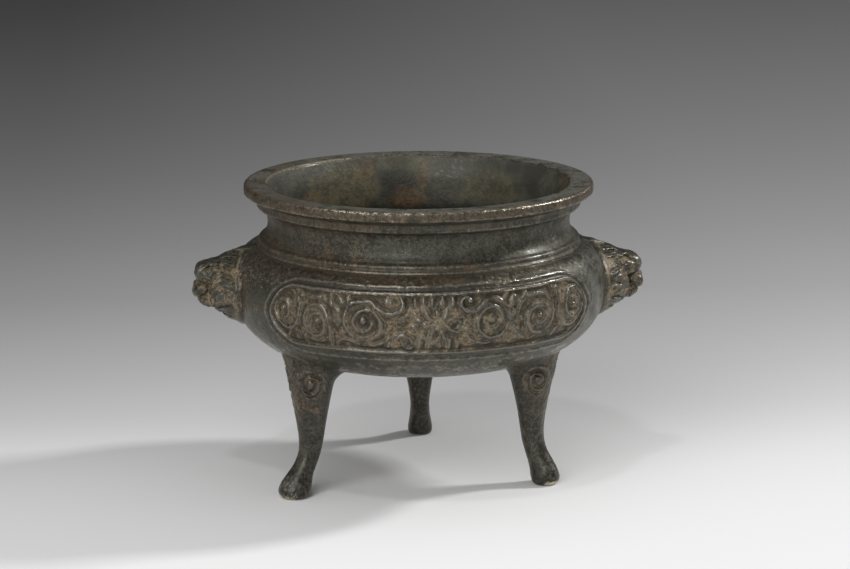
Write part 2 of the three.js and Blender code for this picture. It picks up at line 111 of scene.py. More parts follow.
def flowing(points, step):
    """A smooth curve through the points, resampled at an even step."""
    points = np.array(points, float)
    padded = np.vstack([2 * points[0] - points[1], points, 2 * points[-1] - points[-2]])
    t = np.linspace(0.0, 1.0, STRETCH_STEPS, endpoint=False)[:, None]
    parts = []
    for a, b, c, d in zip(padded, padded[1:], padded[2:], padded[3:]):
        square = (2 * a - 5 * b + 4 * c - d) * t**2
        cube = (3 * b - a - 3 * c + d) * t**3
        parts.append(0.5 * (2 * b + (c - a) * t + square + cube))
    return resampled(np.vstack(parts + [points[-1:]]), step)


def resampled(path, step):
    """The same line, with its points an even step apart."""
    length = np.concatenate([[0.0], np.cumsum(np.linalg.norm(np.diff(path, axis=0), axis=1))])
    at = np.linspace(0.0, length[-1], max(int(length[-1] / step), 2) + 1)
    return np.stack([np.interp(at, length, path[:, axis]) for axis in range(path.shape[1])], 1)


def lumps(points, size, seed):
    """Smooth seeded noise from -1 to 1 at the points, with bumps of about the given size."""
    table = np.random.default_rng(seed).uniform(-1.0, 1.0, NOISE_TABLE_SIZE)
    place = np.asarray(points, float) / size
    cell = np.floor(place).astype(np.int64)
    share = place - cell
    share = share * share * (3.0 - 2.0 * share)
    total = np.zeros(place.shape[:-1])
    for corner in range(8):
        step = np.array([corner & 1, corner >> 1 & 1, corner >> 2 & 1])
        key = (cell + step) @ np.array(NOISE_KEYS)
        weight = np.where(step, share, 1.0 - share).prod(-1)
        total += weight * table[key % NOISE_TABLE_SIZE]
    return total


def layered(points, layers, seed):
    """Lumps of several sizes added together, given as (size, share)."""
    return sum(lumps(points, size, seed + part) * share for part, (size, share) in enumerate(layers))


def casting_skin(points, amount, seed):
    """The uneven skin of an old casting: broad hand-finished waves, pits and sandy grain."""
    waves = layered(points, SKIN_WAVES, seed)
    grain = layered(points, SKIN_GRAIN, seed + len(SKIN_WAVES))
    pits = smooth(0.55, 0.9, lumps(points, PIT_SIZE, seed + len(SKIN_WAVES) + len(SKIN_GRAIN)))
    return amount * (waves + grain - PIT_SHARE * pits)


def put_mesh(name, points, faces):
    """A closed mesh from points in millimetres, with its faces turned outwards."""
    mesh = bpy.data.meshes.new(name)
    mesh.from_pydata((np.asarray(points) * MM).tolist(), [], faces)
    mesh.validate()
    if signed_volume(mesh) < 0:
        mesh.flip_normals()
    mesh.polygons.foreach_set("use_smooth", [True] * len(mesh.polygons))
    mesh.update()
    made = bpy.data.objects.new(name, mesh)
    bpy.context.scene.collection.objects.link(made)
    return made


def signed_volume(mesh):
    """Six times the volume, below zero where the faces point inwards."""
    mesh.calc_loop_triangles()
    count = len(mesh.loop_triangles)
    corners = np.zeros(count * 3, np.int32)
    mesh.loop_triangles.foreach_get("vertices", corners)
    a, b, c = points_of(mesh)[corners.reshape(count, 3)].transpose(1, 0, 2)
    return float(np.einsum("ij,ij->i", a, np.cross(b, c)).sum())


def points_of(mesh):
    found = np.zeros(len(mesh.vertices) * 3)
    mesh.vertices.foreach_get("co", found)
    return found.reshape(-1, 3)


def relief_of(mesh, passes):
    """How far each point lies below (+) or above (-) its smoothed surroundings, in millimetres."""
    points = points_of(mesh) / MM
    edges = np.zeros(len(mesh.edges) * 2, np.int32)
    mesh.edges.foreach_get("vertices", edges)
    a, b = edges.reshape(-1, 2).T
    count = len(points)
    degree = np.maximum(np.bincount(a, minlength=count) + np.bincount(b, minlength=count), 1)
    smoothed = points.copy()
    for _ in range(passes):
        total = [
            np.bincount(a, smoothed[b, axis], count) + np.bincount(b, smoothed[a, axis], count)
            for axis in range(3)
        ]
        smoothed = np.stack(total, 1) / degree[:, None]
    normals = np.zeros(count * 3)
    mesh.vertices.foreach_get("normal", normals)
    return ((smoothed - points) * normals.reshape(-1, 3)).sum(1)


def keep_attribute(mesh, name, values):
    made = mesh.attributes.new(name, "FLOAT", "POINT")
    made.data.foreach_set("value", np.asarray(values, np.float32))


def mark(made, fine=10, broad=50, soiled=0.0, browned=0.0, rubbed=0.0, paled=0.0):
    """Stores what the patina reads: hollows, and where it is soiled, browned, rubbed bare, given a painted
    sheen or darkened.
    """
    hollows = [relief_of(made.data, passes) for passes in (fine, broad)]
    for name, values in zip(MARKS, (*hollows, soiled, browned, rubbed, paled)):
        keep_attribute(made.data, name, np.broadcast_to(values, len(made.data.vertices)))


def seat(made, material, nodes):
    """Gives a finished piece its material and its place in the frame."""
    made.data.materials.clear()
    made.data.materials.append(material)
    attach(made, "root")
    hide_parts(*nodes)


# Node trees


class Value:
    """A node's output that takes part in Python sums, each of which adds a Math node."""

    def __init__(self, sheet, socket):
        self.sheet = sheet
        self.socket = socket

    def __add__(self, other):
        return self.sheet.maths("ADD", self, other)

    def __sub__(self, other):
        return self.sheet.maths("SUBTRACT", self, other)

    def __rsub__(self, other):
        return self.sheet.maths("SUBTRACT", other, self)

    def __mul__(self, other):
        return self.sheet.maths("MULTIPLY", self, other)

    def __truediv__(self, other):
        return self.sheet.maths("DIVIDE", self, other)

    def __rtruediv__(self, other):
        return self.sheet.maths("DIVIDE", other, self)

    def __neg__(self):
        return 0.0 - self

    __radd__ = __add__
    __rmul__ = __mul__

    def top(self, other):
        return self.sheet.maths("MAXIMUM", self, other)

    def step(self, low, high):
        """0 below low and 1 above high, with an even S between."""
        return self.sheet.node(
            "ShaderNodeMapRange",
            {"interpolation_type": "SMOOTHSTEP"},
            {"Value": self, "From Min": low, "From Max": high},
        )


class Sheet:
    """One node tree, filled by asking for nodes and getting their outputs back."""

    def __init__(self, tree):
        self.tree = tree
        tree.nodes.clear()

    def node(self, kind, settings=None, values=None, out=0):
        made = self.tree.nodes.new(kind)
        for name, setting in (settings or {}).items():
            if name == "stops":
                self.set_stops(made.color_ramp, setting)
            else:
                setattr(made, name, setting)
        for key, value in (values or {}).items():
            self.feed(made.inputs[key], value)
        return Value(self, made.outputs[out]) if made.outputs else None

    def maths(self, operation, *terms):
        return self.node("ShaderNodeMath", {"operation": operation}, dict(enumerate(terms)))

    def feed(self, socket, value):
        if isinstance(value, Value):
            self.tree.links.new(value.socket, socket)
        else:
            socket.default_value = value

    def set_stops(self, ramp, stops):
        ramp.interpolation = "B_SPLINE"
        while len(ramp.elements) < len(stops):
            ramp.elements.new(1.0)
        for element, (place, colour) in zip(ramp.elements, stops):
            element.position = place
            element.color = colour

    def blend(self, factor, first, second, mode="MIX"):
        settings = {"data_type": "RGBA", "blend_type": mode, "clamp_factor": True}
        return self.node("ShaderNodeMix", settings, {0: factor, 6: first, 7: second}, out=2)

    def noise(self, place, scale, detail, roughness, offset):
        moved = self.node("ShaderNodeVectorMath", {"operation": "ADD"}, {0: place, 1: offset})
        values = {"Vector": moved, "Scale": scale, "Detail": detail, "Roughness": roughness}
        return self.node("ShaderNodeTexNoise", {}, values)

    def place(self):
        return self.node("ShaderNodeTexCoord", out="Object")

    def split(self, vector, axis):
        return self.node("ShaderNodeSeparateXYZ", {}, {0: vector}, out=axis)

    def attribute(self, name):
        return self.node("ShaderNodeAttribute", {"attribute_name": name}, out="Fac")


def new_material(name):
    made = bpy.data.materials.new(name)
    made.use_nodes = True
    return made, Sheet(made.node_tree)


# Patterns of the patina, from broad clouds to fine grit: (scale, detail, roughness) of their noise
PATTERNS = ((45.0, 4.0, 0.6), (240.0, 5.0, 0.62), (1000.0, 4.0, 0.65), (3600.0, 2.0, 0.5))
# Shares of a piece's offset by which they move along each axis
PATTERN_SHIFT_SHARES = (1.0, 0.7, 1.3)
# How much of what lies below it each layer covers
BLUE_COVER = 0.5
SHEEN_COVER = 0.8
RUST_COVER = 0.7
CREASE_SHADE_COVER = 0.8
DARKENING_COVER = 0.75
DULL_COVER = 0.4
BARE_COVER = 0.9
CLEAN_ROUGHNESS = 0.46
CLEAN_METAL = 0.25
SKIN_BUMP = {"Strength": 0.9, "Distance": 0.00022}
WAX = {"Coat Roughness": 0.17, "Coat IOR": 1.7, "Specular Tint": (1.0, 0.96, 0.78, 1.0)}


def patina(name, finish, offset=0.0, wear=1.0, gloss=0.0, tone=1.0, interior=False):
    """Old bronze: a dark green-grey skin, brown clouds, ochre dirt in the relief, painted shade in its
    deepest creases and ridges rubbed bare.

    The paled attribute lays a painted grey sheen where it is positive and darkens where it is negative.
    """
    made, sheet = new_material(name)
    place = sheet.place()
    shift = tuple(offset * share for share in PATTERN_SHIFT_SHARES)
    clouds, spots, mottle, grit = (sheet.noise(place, *pattern, shift) for pattern in PATTERNS)
    # The same patterns, swinging round zero
    spotted, mottled, gritty = (pattern - 0.5 for pattern in (spots, mottle, grit))
    fine, broad, soiled, browned, rubbed, paled = (sheet.attribute(kept) for kept in MARKS)

    # The skin, with its blue areas and painted grey sheen, brown clouds and rust
    speckle = (spots + mottle * 1.2 + grit * 1.2 - 1.7).step(-0.25, 0.25)
    colour = sheet.blend(speckle, finish.skin_dark, finish.skin_olive)
    colour = sheet.blend(clouds.step(0.48, 0.6) * BLUE_COVER, colour, finish.skin_blue)
    # Painted grey sheen, where the sheen mark is above zero
    sheen = (paled + spotted * 1.6 + mottled * 1.2).step(0.3, 0.9)
    colour = sheet.blend(sheen * SHEEN_COVER, colour, finish.sheen_grey)
    brown = (clouds * 0.5 + spots * 0.7 + browned * 0.7).step(0.8, 1.08)
    colour = sheet.blend(brown * (0.3 + speckle * 0.6), colour, finish.skin_brown)
    rust = (spots * 0.6 + mottle * 0.5).step(0.58, 0.68) * brown
    colour = sheet.blend(rust * RUST_COVER, colour, finish.rust_spot)

    # Dirt settled in the hollows, painted shade in the deepest creases and darkening where the sheen mark is
    # below zero, then the grain over all of it
    caked = (soiled - 1.0).top(0.0) * 1.4
    settled = ((fine * 2.5 + broad + 0.36) * soiled + spotted * soiled * 1.5 + caked).step(0.05, 0.45)
    ochre = sheet.blend((spots * 0.5 + grit * 0.5).step(0.42, 0.6), finish.dirt_dark, finish.dirt_gold)
    colour = sheet.blend(settled * (0.45 + mottle * 0.9), colour, ochre)
    # Painted shade: the deepest creases are darkened by their depth
    crease_shade = (fine + broad * 0.2).step(0.07, 0.25)
    colour = sheet.blend(crease_shade * CREASE_SHADE_COVER, colour, finish.shade_dark)
    # Darkening where the sheen mark is below zero: painted shade on the belly's left side, darker bands on
    # its shoulder and in its upper channel
    darkened = (-paled + spotted * 0.8).step(0.1, 0.7)
    colour = sheet.blend(darkened * DARKENING_COVER, colour, finish.shade_dark)
    grain = spotted * 0.8 + mottled * 2.0 + gritty * 2.4
    colour = sheet.blend(1.0, colour, (grain + tone).top(0.25), "MULTIPLY")

    # Ridges dulled by hands, and edges rubbed bare
    dull = (-fine * 5.0 + mottled * 2.4 + spotted * 1.6).step(0.3, 1.0) * wear
    colour = sheet.blend(dull * DULL_COVER, colour, finish.worn_tan)
    bare = (rubbed + mottled * 1.8 + gritty * 1.5 + -fine * 0.5 * wear).step(0.5, 0.8)
    colour = sheet.blend(bare * BARE_COVER, colour, finish.worn_metal)

    rough = CLEAN_ROUGHNESS - gloss + mottled * 0.5 + settled * 0.15 - dull * 0.24 - bare * 0.12
    metal = CLEAN_METAL - settled * 0.15 + dull * 0.25 + bare * 0.6
    waxed = (dull * 0.6 + gloss + 0.06) * (1.0 - settled * 0.8)
    if interior:
        inside = sheet.attribute("inside")
        colour = sheet.blend(inside, colour, stained_lining(sheet, finish, place, spots, mottle))
        rough = rough + inside * 0.06
        metal = metal * (1.0 - inside * 0.7)

    height = clouds * 0.3 + spots * 0.9 + mottle * 0.9 + grit * 0.4
    bump = sheet.node("ShaderNodeBump", {}, {"Height": height, **SKIN_BUMP}, out="Normal")
    values = {"Base Color": colour, "Roughness": rough, "Metallic": metal, "Coat Weight": waxed}
    surface = sheet.node("ShaderNodeBsdfPrincipled", {}, {**values, "Normal": bump, **WAX})
    sheet.node("ShaderNodeOutputMaterial", {}, {"Surface": surface})
    return made


# Stains on the wall behind the mouth: (middle (x, z), half size, strength)
OLIVE_STAINS = (((-21, 78), (11, 9), 0.8), ((24, 77), (9, 6), 0.4), ((-2, 84), (9, 3), 0.3))
ORANGE_STAINS = (
    ((0.5, 73), (6, 5), 0.75), ((5, 79), (2.5, 6), 0.45), ((-30, 76), (3, 3), 0.25),
    ((46, 83), (5, 3), 0.6), ((-12, 83), (3, 3), 0.3),
)
STAIN_RAGGEDNESS = 4.8
# Noise that bends the stains and noise that spreads the blue: (scale, detail, roughness, offset)
STAIN_DRIFT = (55.0, 5.0, 0.7, (0.3, 0.1, 0.2))
BLUE_SPREAD = (90.0, 5.0, 0.65, (0.9, 0.4, 0.1))
BLOTCH_COVER = 0.65


def stained_lining(sheet, finish, place, spots, mottle):
    """Colour of the hollow's stained skin: olive, blue-grey and orange-brown patches."""
    drift = sheet.noise(place, *STAIN_DRIFT)
    x = sheet.split(place, "X")
    z = sheet.split(place, "Z")
    blue = sheet.noise(place, *BLUE_SPREAD).step(0.4, 0.6)
    stained = sheet.blend(blue, finish.inside_dark, finish.inside_blue)
    for stains, tint in ((OLIVE_STAINS, finish.inside_olive), (ORANGE_STAINS, finish.inside_orange)):
        for middle, reach, strength in stains:
            side = (x - middle[0] * MM) / (reach[0] * MM)
            rise = (z - middle[1] * MM) / (reach[1] * MM)
            away = side * side + rise * rise + (drift - 0.5) * STAIN_RAGGEDNESS
            stained = sheet.blend((1.0 - away.step(0.35, 1.3)) * strength, stained, tint)
    blotch = (spots * 0.6 + mottle * 0.45).step(0.47, 0.6)
    return sheet.blend(blotch * BLOTCH_COVER, stained, finish.inside_dark)


# Settings


def length(name, description, default):
    return bpy.props.FloatProperty(
        name=name, description=description, default=default, min=0.0, precision=5, unit="LENGTH"
    )


def colour(name, description, default):
    return bpy.props.FloatVectorProperty(
        name=name, description=description, default=(*default, 1.0), size=4, min=0.0, max=1.0, subtype="COLOR"
    )


def power(name, description, default):
    return bpy.props.FloatProperty(name=name, description=description, default=default, min=0.0, unit="POWER")


def how_many(name, description, default, least):
    return bpy.props.IntProperty(name=name, description=description, default=default, min=least)


class CenserSizes(bpy.types.PropertyGroup):
    """Sizes of the relief and the castings."""

    cell: length("Relief cell", "Mesh spacing inside the cartouches", 0.0003)
    ground_depth: length("Ground depth", "Depth of the cartouche's ground below the belly", 0.0009)
    frame_rise: length("Frame rise", "Height of the cartouche's outer edge line", 0.00022)
    scroll_rise: length("Scroll rise", "Height of the scrolls above the ground", 0.00118)
    skin: length("Belly thickness", "Thickness of the belly's own shell under the lining", 0.0014)
    unevenness: length("Casting unevenness", "Height of the lumps and pits in the cast skin", 0.00008)
    mask_cell: length("Mask cell", "Mesh spacing on the lion masks", 0.00024)
    fillet: length("Leg fillet", "Radius of the curve from a leg into the belly", 0.0045)
    mane_locks: how_many("Mane locks", "Locks of hair round a mask", 13, 4)
    turns: how_many("Turned segments", "Steps round the turned collar", 360, 24)


class CenserFinish(bpy.types.PropertyGroup):
    """Colours of the patina."""

    skin_dark: colour("Dark skin", "Darkest green-grey of the patina", (0.014, 0.0135, 0.010))
    skin_olive: colour("Olive skin", "Lighter olive-grey of the patina", (0.066, 0.060, 0.044))
    skin_blue: colour("Blue skin", "Blue-grey areas of the patina", (0.048, 0.050, 0.041))
    # Painted sheen: grey painted on the lip's top, the right side of the belly and neck, and the tops of the
    # feet
    sheen_grey: colour("Painted sheen", "Painted grey sheen on the lip and the right side", (0.130, 0.128, 0.108))
    skin_brown: colour("Brown clouds", "Brown areas of the patina", (0.070, 0.050, 0.031))
    rust_spot: colour("Red spots", "Small red-brown spots", (0.085, 0.036, 0.018))
    dirt_dark: colour("Dark dirt", "Darker dirt settled in the relief", (0.085, 0.063, 0.038))
    dirt_gold: colour("Ochre dirt", "Ochre dirt settled in the relief", (0.205, 0.155, 0.096))
    # Painted shade: near-black painted into the deepest creases and where the sheen mark is below zero
    shade_dark: colour("Painted shade", "Darkest lines of the relief", (0.018, 0.016, 0.012))
    worn_tan: colour("Dull wear", "Ridges that are handled but not bare", (0.180, 0.150, 0.110))
    worn_metal: colour("Bare metal", "Metal that shows where an edge is rubbed", (0.55, 0.46, 0.35))
    inside_dark: colour("Dark lining", "Dark stain inside", (0.034, 0.034, 0.028))
    inside_olive: colour("Olive lining", "Olive stain inside", (0.135, 0.114, 0.064))
    inside_blue: colour("Blue-grey lining", "Blue-grey stain inside", (0.068, 0.067, 0.052))
    inside_orange: colour("Orange lining", "Orange-brown stain inside", (0.160, 0.092, 0.045))


class CenserStage(bpy.types.PropertyGroup):
    """The floor and the lamps."""

    floor_tint: colour("Floor tint", "Colour that the paper's grey tones are multiplied by", (1.0, 1.0, 1.0))
    key_power: power("Key lamp", "Power of the lamp at the right", 11.3)
    front_power: power("Front lamp", "Power of the soft box in front, at the left", 10.8)
    spark_power: power("Spark lamp", "Power of the small lamp that puts glints on the ridges", 1.6)
    top_power: power("Top lamp", "Power of the soft box above", 1.2)
    world_light: bpy.props.FloatProperty(
        name="Room light", description="Strength of the even light from all round", default=0.34, min=0.0
    )


# Belly


# Scroll lines of a cartouche: (half width, rise share, points of (across, height))
SCROLL_LINES = (
    (0.62, 1.0, ((-41.6, 63.7), (-40.4, 60.6), (-40.2, 57.4), (-41.0, 54.4), (-43.0, 52.3), (-45.6, 52.2),
                 (-48.0, 54.1), (-48.9, 57.0), (-47.8, 59.3), (-45.6, 60.0), (-43.8, 58.5), (-43.6, 56.2),
                 (-45.1, 54.9), (-46.8, 55.8))),
    (0.60, 1.0, ((-30.4, 48.2), (-29.9, 50.6), (-29.9, 53.2), (-30.6, 56.6), (-32.2, 59.2), (-34.4, 60.2),
                 (-36.8, 59.0), (-38.3, 56.0), (-37.9, 53.2), (-36.0, 51.4), (-33.8, 51.0), (-32.1, 52.2),
                 (-31.5, 54.4), (-32.4, 56.8), (-34.4, 57.7), (-36.1, 56.4), (-36.0, 54.2), (-34.6, 53.4))),
    (0.66, 1.1, ((-12.6, 60.9), (-13.6, 61.8), (-13.2, 63.1), (-11.4, 63.7), (-9.6, 63.1), (-9.0, 61.4),
                 (-10.2, 59.6), (-12.3, 58.8), (-14.6, 59.3), (-16.6, 60.7), (-18.2, 61.7), (-20.5, 62.0),
                 (-22.9, 61.2), (-24.7, 59.2), (-25.3, 56.4), (-24.6, 53.7), (-22.6, 51.8), (-19.9, 51.1),
                 (-17.2, 51.9), (-15.4, 54.0), (-15.2, 56.6), (-16.6, 58.8), (-19.0, 59.7), (-21.5, 58.7),
                 (-22.7, 56.4), (-22.0, 54.2), (-20.0, 53.2), (-18.1, 54.2), (-17.5, 55.9))),
    (0.62, 1.1, ((10.2, 61.4), (9.8, 62.7), (8.2, 63.1), (7.0, 61.9), (7.3, 60.2), (9.0, 59.1), (11.0, 59.3),
                 (12.6, 60.6), (14.2, 61.9), (16.5, 62.3), (18.8, 61.0), (20.5, 58.8), (20.8, 56.2),
                 (19.8, 53.6), (17.6, 51.8), (14.9, 51.6), (12.6, 53.0), (11.6, 55.5), (12.2, 58.2),
                 (14.1, 60.0), (16.4, 60.1), (18.1, 58.4), (18.3, 56.2), (17.1, 54.5), (15.2, 54.2),
                 (13.8, 55.5), (13.9, 57.4))),
    (0.60, 1.0, ((24.0, 58.2), (25.6, 60.6), (27.9, 61.8), (30.7, 62.0), (33.5, 61.0), (35.5, 58.6),
                 (36.1, 55.8), (35.3, 53.2), (33.2, 51.4), (30.6, 50.8), (28.2, 51.9), (26.9, 54.0),
                 (27.0, 56.5), (28.5, 58.5), (30.7, 59.0), (32.7, 57.7), (33.3, 55.6), (32.4, 53.9),
                 (30.8, 53.5), (29.6, 54.8))),
    (0.62, 1.0, ((38.2, 63.2), (38.5, 60.2), (37.9, 57.4), (38.4, 54.6), (40.3, 52.3), (43.0, 51.2),
                 (46.0, 51.6), (48.2, 53.4), (49.0, 56.0), (48.6, 58.8), (46.9, 60.9), (44.4, 61.5),
                 (42.0, 60.3), (40.9, 58.0), (41.3, 55.5), (43.0, 53.7), (45.2, 53.6), (46.8, 55.2),
                 (46.6, 57.5), (45.0, 58.7), (43.5, 57.6))),
    (0.50, 0.85, ((-37.7, 61.5), (-35.4, 62.2), (-32.8, 62.0), (-30.6, 61.0), (-29.0, 59.4), (-28.2, 57.4))),
    (0.48, 0.9, ((-30.3, 62.3), (-29.6, 61.0), (-28.4, 59.8), (-27.3, 58.9), (-26.7, 57.6))),
    (0.46, 0.9, ((-24.2, 63.5), (-24.5, 61.9), (-25.2, 60.7), (-26.0, 59.6))),
    (0.42, 0.8, ((-30.3, 62.3), (-29.6, 63.5), (-28.0, 63.6), (-26.9, 62.7))),
    (0.50, 0.8, ((-38.9, 51.4), (-37.7, 50.2), (-35.2, 49.5), (-32.6, 49.6), (-30.6, 50.4))),
    (0.52, 0.85, ((-28.5, 48.2), (-27.3, 50.0), (-25.0, 50.7), (-21.5, 49.7), (-18.0, 49.5), (-14.9, 50.3),
                  (-13.0, 51.6))),
    (0.46, 0.8, ((-45.2, 48.8), (-43.8, 50.4), (-41.9, 51.7))),
    (0.46, 0.8, ((-39.2, 52.2), (-38.6, 50.4), (-38.4, 48.2))),
    (0.46, 0.8, ((-11.6, 48.8), (-11.4, 51.2), (-9.6, 52.6), (-7.5, 52.1), (-6.5, 50.3), (-7.3, 48.7),
                 (-8.9, 49.2), (-9.0, 50.5))),
    (0.46, 0.9, ((19.0, 60.9), (19.9, 62.3), (21.2, 63.5))),
    (0.46, 0.9, ((26.8, 63.1), (25.7, 61.9), (24.7, 60.6), (24.2, 58.9))),
    (0.44, 0.85, ((21.0, 60.2), (21.9, 58.6), (23.3, 58.0))),
    (0.50, 0.85, ((8.0, 53.6), (9.0, 51.5), (11.4, 50.2), (14.2, 49.8), (16.6, 50.6))),
    (0.44, 0.8, ((16.0, 50.4), (17.6, 49.9), (19.2, 50.6), (19.8, 52.0))),
    (0.46, 0.8, ((21.8, 55.2), (22.6, 53.0), (24.4, 51.0), (26.6, 49.4))),
    (0.50, 0.95, ((35.4, 63.4), (36.8, 62.8), (37.1, 61.4), (36.3, 60.4))),
    (0.46, 0.85, ((36.4, 48.6), (37.0, 50.6), (38.6, 51.8))),
)
# Ribbed bands inside the scrolls, given like the lines
SCROLL_BANDS = (
    (1.0, 0.5, ((-43.3, 63.6), (-42.2, 60.8), (-41.8, 57.4), (-42.6, 54.6), (-45.0, 53.6), (-47.0, 55.4))),
    (0.85, 0.55, ((-31.0, 55.4), (-32.4, 58.2), (-34.4, 59.0), (-36.5, 57.8), (-37.2, 55.4), (-36.6, 53.0),
                  (-34.8, 52.0))),
    (0.85, 0.5, ((-17.3, 60.0), (-20.2, 60.9), (-23.0, 59.6), (-24.0, 57.0), (-23.6, 54.4), (-21.6, 52.4),
                 (-18.8, 52.3))),
    (0.8, 0.5, ((18.6, 59.8), (19.6, 57.4), (19.2, 54.6), (17.0, 53.0), (14.6, 52.8), (12.6, 54.4))),
    (0.85, 0.55, ((25.6, 58.6), (27.6, 60.3), (30.8, 60.5), (33.4, 59.3), (34.7, 56.8), (34.4, 54.4),
                  (32.8, 52.6), (30.4, 52.2))),
    (0.9, 0.5, ((39.6, 60.6), (39.5, 57.4), (40.4, 54.4), (43.2, 52.5), (46.2, 53.0), (47.8, 55.8),
                (47.2, 58.8), (45.0, 60.2))),
    (0.8, 0.55, ((10.3, 56.8), (10.0, 54.4), (11.0, 52.4), (13.0, 50.9))),
    (0.75, 0.45, ((-9.9, 63.0), (-10.3, 61.3), (-11.8, 60.3))),
)
# Leaves: (across, height, half length, half width, turn in degrees, rise share)
LEAVES = (
    (-27.7, 56.0, 3.6, 1.6, -65, 0.85), (-39.8, 62.4, 2.3, 0.9, -60, 0.7), (-27.0, 61.6, 1.7, 1.3, -70, 0.9),
    (-41.4, 49.9, 2.0, 1.3, 60, 0.7), (-33.6, 62.9, 2.8, 0.6, -4, 0.45), (-26.2, 52.6, 1.6, 0.9, 70, 0.7),
    (22.7, 61.4, 1.9, 1.4, 90, 0.85), (22.6, 55.8, 2.6, 1.4, 75, 0.7), (37.0, 62.0, 1.6, 0.9, 50, 0.8),
    (37.4, 50.4, 1.6, 1.1, 50, 0.75), (24.8, 52.6, 2.0, 1.0, -45, 0.65), (17.8, 51.0, 1.2, 0.8, 20, 0.7),
    (-9.0, 50.4, 1.6, 1.2, 30, 0.6), (-13.2, 49.6, 1.4, 0.9, 60, 0.8), (50.6, 56.0, 2.4, 0.8, 90, 0.55),
    (-51.0, 56.6, 2.6, 0.8, 80, 0.55), (42.2, 63.0, 1.9, 0.6, -18, 0.5), (30.4, 49.2, 2.6, 0.7, 4, 0.5),
    (-50.0, 51.6, 2.4, 0.8, -50, 0.55), (46.6, 49.2, 2.2, 0.7, 18, 0.5),
)
# Bosses: (across, height, radius, rise share)
BOSSES = (
    (-46.0, 57.4, 1.25, 1.0), (-34.1, 55.4, 1.2, 1.0), (-19.8, 56.5, 1.35, 1.05), (-12.4, 61.9, 0.8, 1.25),
    (15.6, 56.7, 1.2, 1.0), (9.4, 61.8, 0.7, 1.2), (31.0, 55.9, 1.1, 0.95), (44.8, 56.4, 1.1, 0.95),
    (-13.1, 51.8, 0.55, 1.0), (-29.9, 62.8, 0.5, 1.0), (19.4, 61.5, 0.5, 1.0), (26.5, 62.9, 0.5, 1.0),
    (36.0, 63.0, 0.6, 1.1), (21.8, 53.4, 0.7, 0.7), (24.9, 55.6, 0.8, 0.7), (-43.9, 62.6, 0.6, 0.7),
)
LOTUS_MIDDLE = (0.2, 56.2)
# Rings of petals: (count, distance from the middle, half length, half width, rise share)
LOTUS_RINGS = ((9, 4.7, 1.9, 0.95, 0.75), (7, 2.9, 1.5, 0.85, 1.0), (10, 6.4, 1.2, 0.7, 0.55))
LOTUS_TURN = 0.17
LOTUS_FLATTENING = 0.92
# Stalks over and under the lotus: (half width, rise share, places across, (lean, height) of each point)
LOTUS_STALKS = (
    (0.5, 0.95, (-5.4, -3.2, -0.9, 1.6, 4.4), ((1.0, 60.6), (1.04, 62.2), (1.02, 63.6))),
    (0.55, 0.8, (-4.6, -2.0, 0.8, 3.4, 5.6), ((1.0, 51.4), (1.05, 49.9), (1.05, 48.3))),
)
BERRIES = (7.9, 55.8)
# Rings of beads round the berries and the lotus: (middle, reach across, reach up, turn, radius, rise share)
BEAD_RINGS = ((BERRIES, 1.55, 1.75, 0.0, 0.72, 0.95), (LOTUS_MIDDLE, 1.55, 1.45, 0.3, 0.6, 0.95))
BEADS_IN_RING = 7
MIDDLE_BEADS = ((*LOTUS_MIDDLE, 1.0, 1.1), (*BERRIES, 0.85, 1.1))

# Spacing of the points along a scroll, and how many of them are measured against at once
LINE_STEP = 0.12
LINE_BATCH = 40
# A line's foot is wider than its table says, and the powers round its crest and a band's
LINE_SPREAD = 1.5
LINE_CREST = 0.75
BAND_CREST = 0.35
# Share of its width that is left at a line's ends, and the share of its length over which it narrows
TIP_WIDTH_SHARE = 0.55
TIP_LENGTH_SHARE = 1 / 6
RIB_SPACING = 0.95
VEIN_DEPTH_SHARE = 0.3
VEIN_WIDTH_SHARE = 0.16


def raise_line(field, across, height, half_width, rise, points, ribs=False):
    """Lifts the relief to a rounded ridge, or a low ribbed band, along a line of points."""
    path = flowing(points, LINE_STEP)
    half_width = half_width * (1.0 if ribs else LINE_SPREAD)
    low, high = path.min(0) - half_width, path.max(0) + half_width
    near = np.flatnonzero((across > low[0]) & (across < high[0]) & (height > low[1]) & (height < high[1]))
    if not len(near):
        return
    spot = np.stack([across[near], height[near]], 1)
    apart = np.full(len(near), np.inf)
    nearest = np.zeros(len(near), int)
    for start in range(0, len(path), LINE_BATCH):
        gaps = ((spot[:, None, :] - path[None, start : start + LINE_BATCH]) ** 2).sum(-1)
        best = gaps.argmin(1)
        least = gaps[np.arange(len(near)), best]
        closer = least < apart
        apart[closer] = least[closer]
        nearest[closer] = best[closer] + start
    along = nearest / (len(path) - 1)
    full = np.minimum(1.0, np.minimum(along, 1.0 - along) / TIP_LENGTH_SHARE)
    taper = TIP_WIDTH_SHARE + (1.0 - TIP_WIDTH_SHARE) * full
    share = np.sqrt(apart) / (half_width * taper)
    crest = np.clip(1.0 - share**2, 0.0, 1.0) ** (BAND_CREST if ribs else LINE_CREST)
    if ribs:
        crest = crest * (0.86 + 0.3 * np.cos(nearest * LINE_STEP * 2 * np.pi / RIB_SPACING))
    field[near] = np.maximum(field[near], rise * taper**0.5 * crest)


def raise_leaf(field, across, height, middle, half_length, half_width, turn, rise):
    """Lifts the relief to a pointed leaf with a sunk vein."""
    cos, sin = math.cos(turn), math.sin(turn)
    x, y = across - middle[0], height - middle[1]
    along, beside = (x * cos + y * sin) / half_length, (y * cos - x * sin) / half_width
    width = np.clip(1.0 - along**2, 0.0, 1.0)
    inside = np.clip(1.0 - (beside / np.maximum(width, 0.05)) ** 2, 0.0, 1.0) * (np.abs(along) < 1)
    vein = 1.0 - VEIN_DEPTH_SHARE * np.exp(-((beside / VEIN_WIDTH_SHARE) ** 2))
    np.maximum(field, rise * inside**0.5 * vein * width**0.25, out=field)


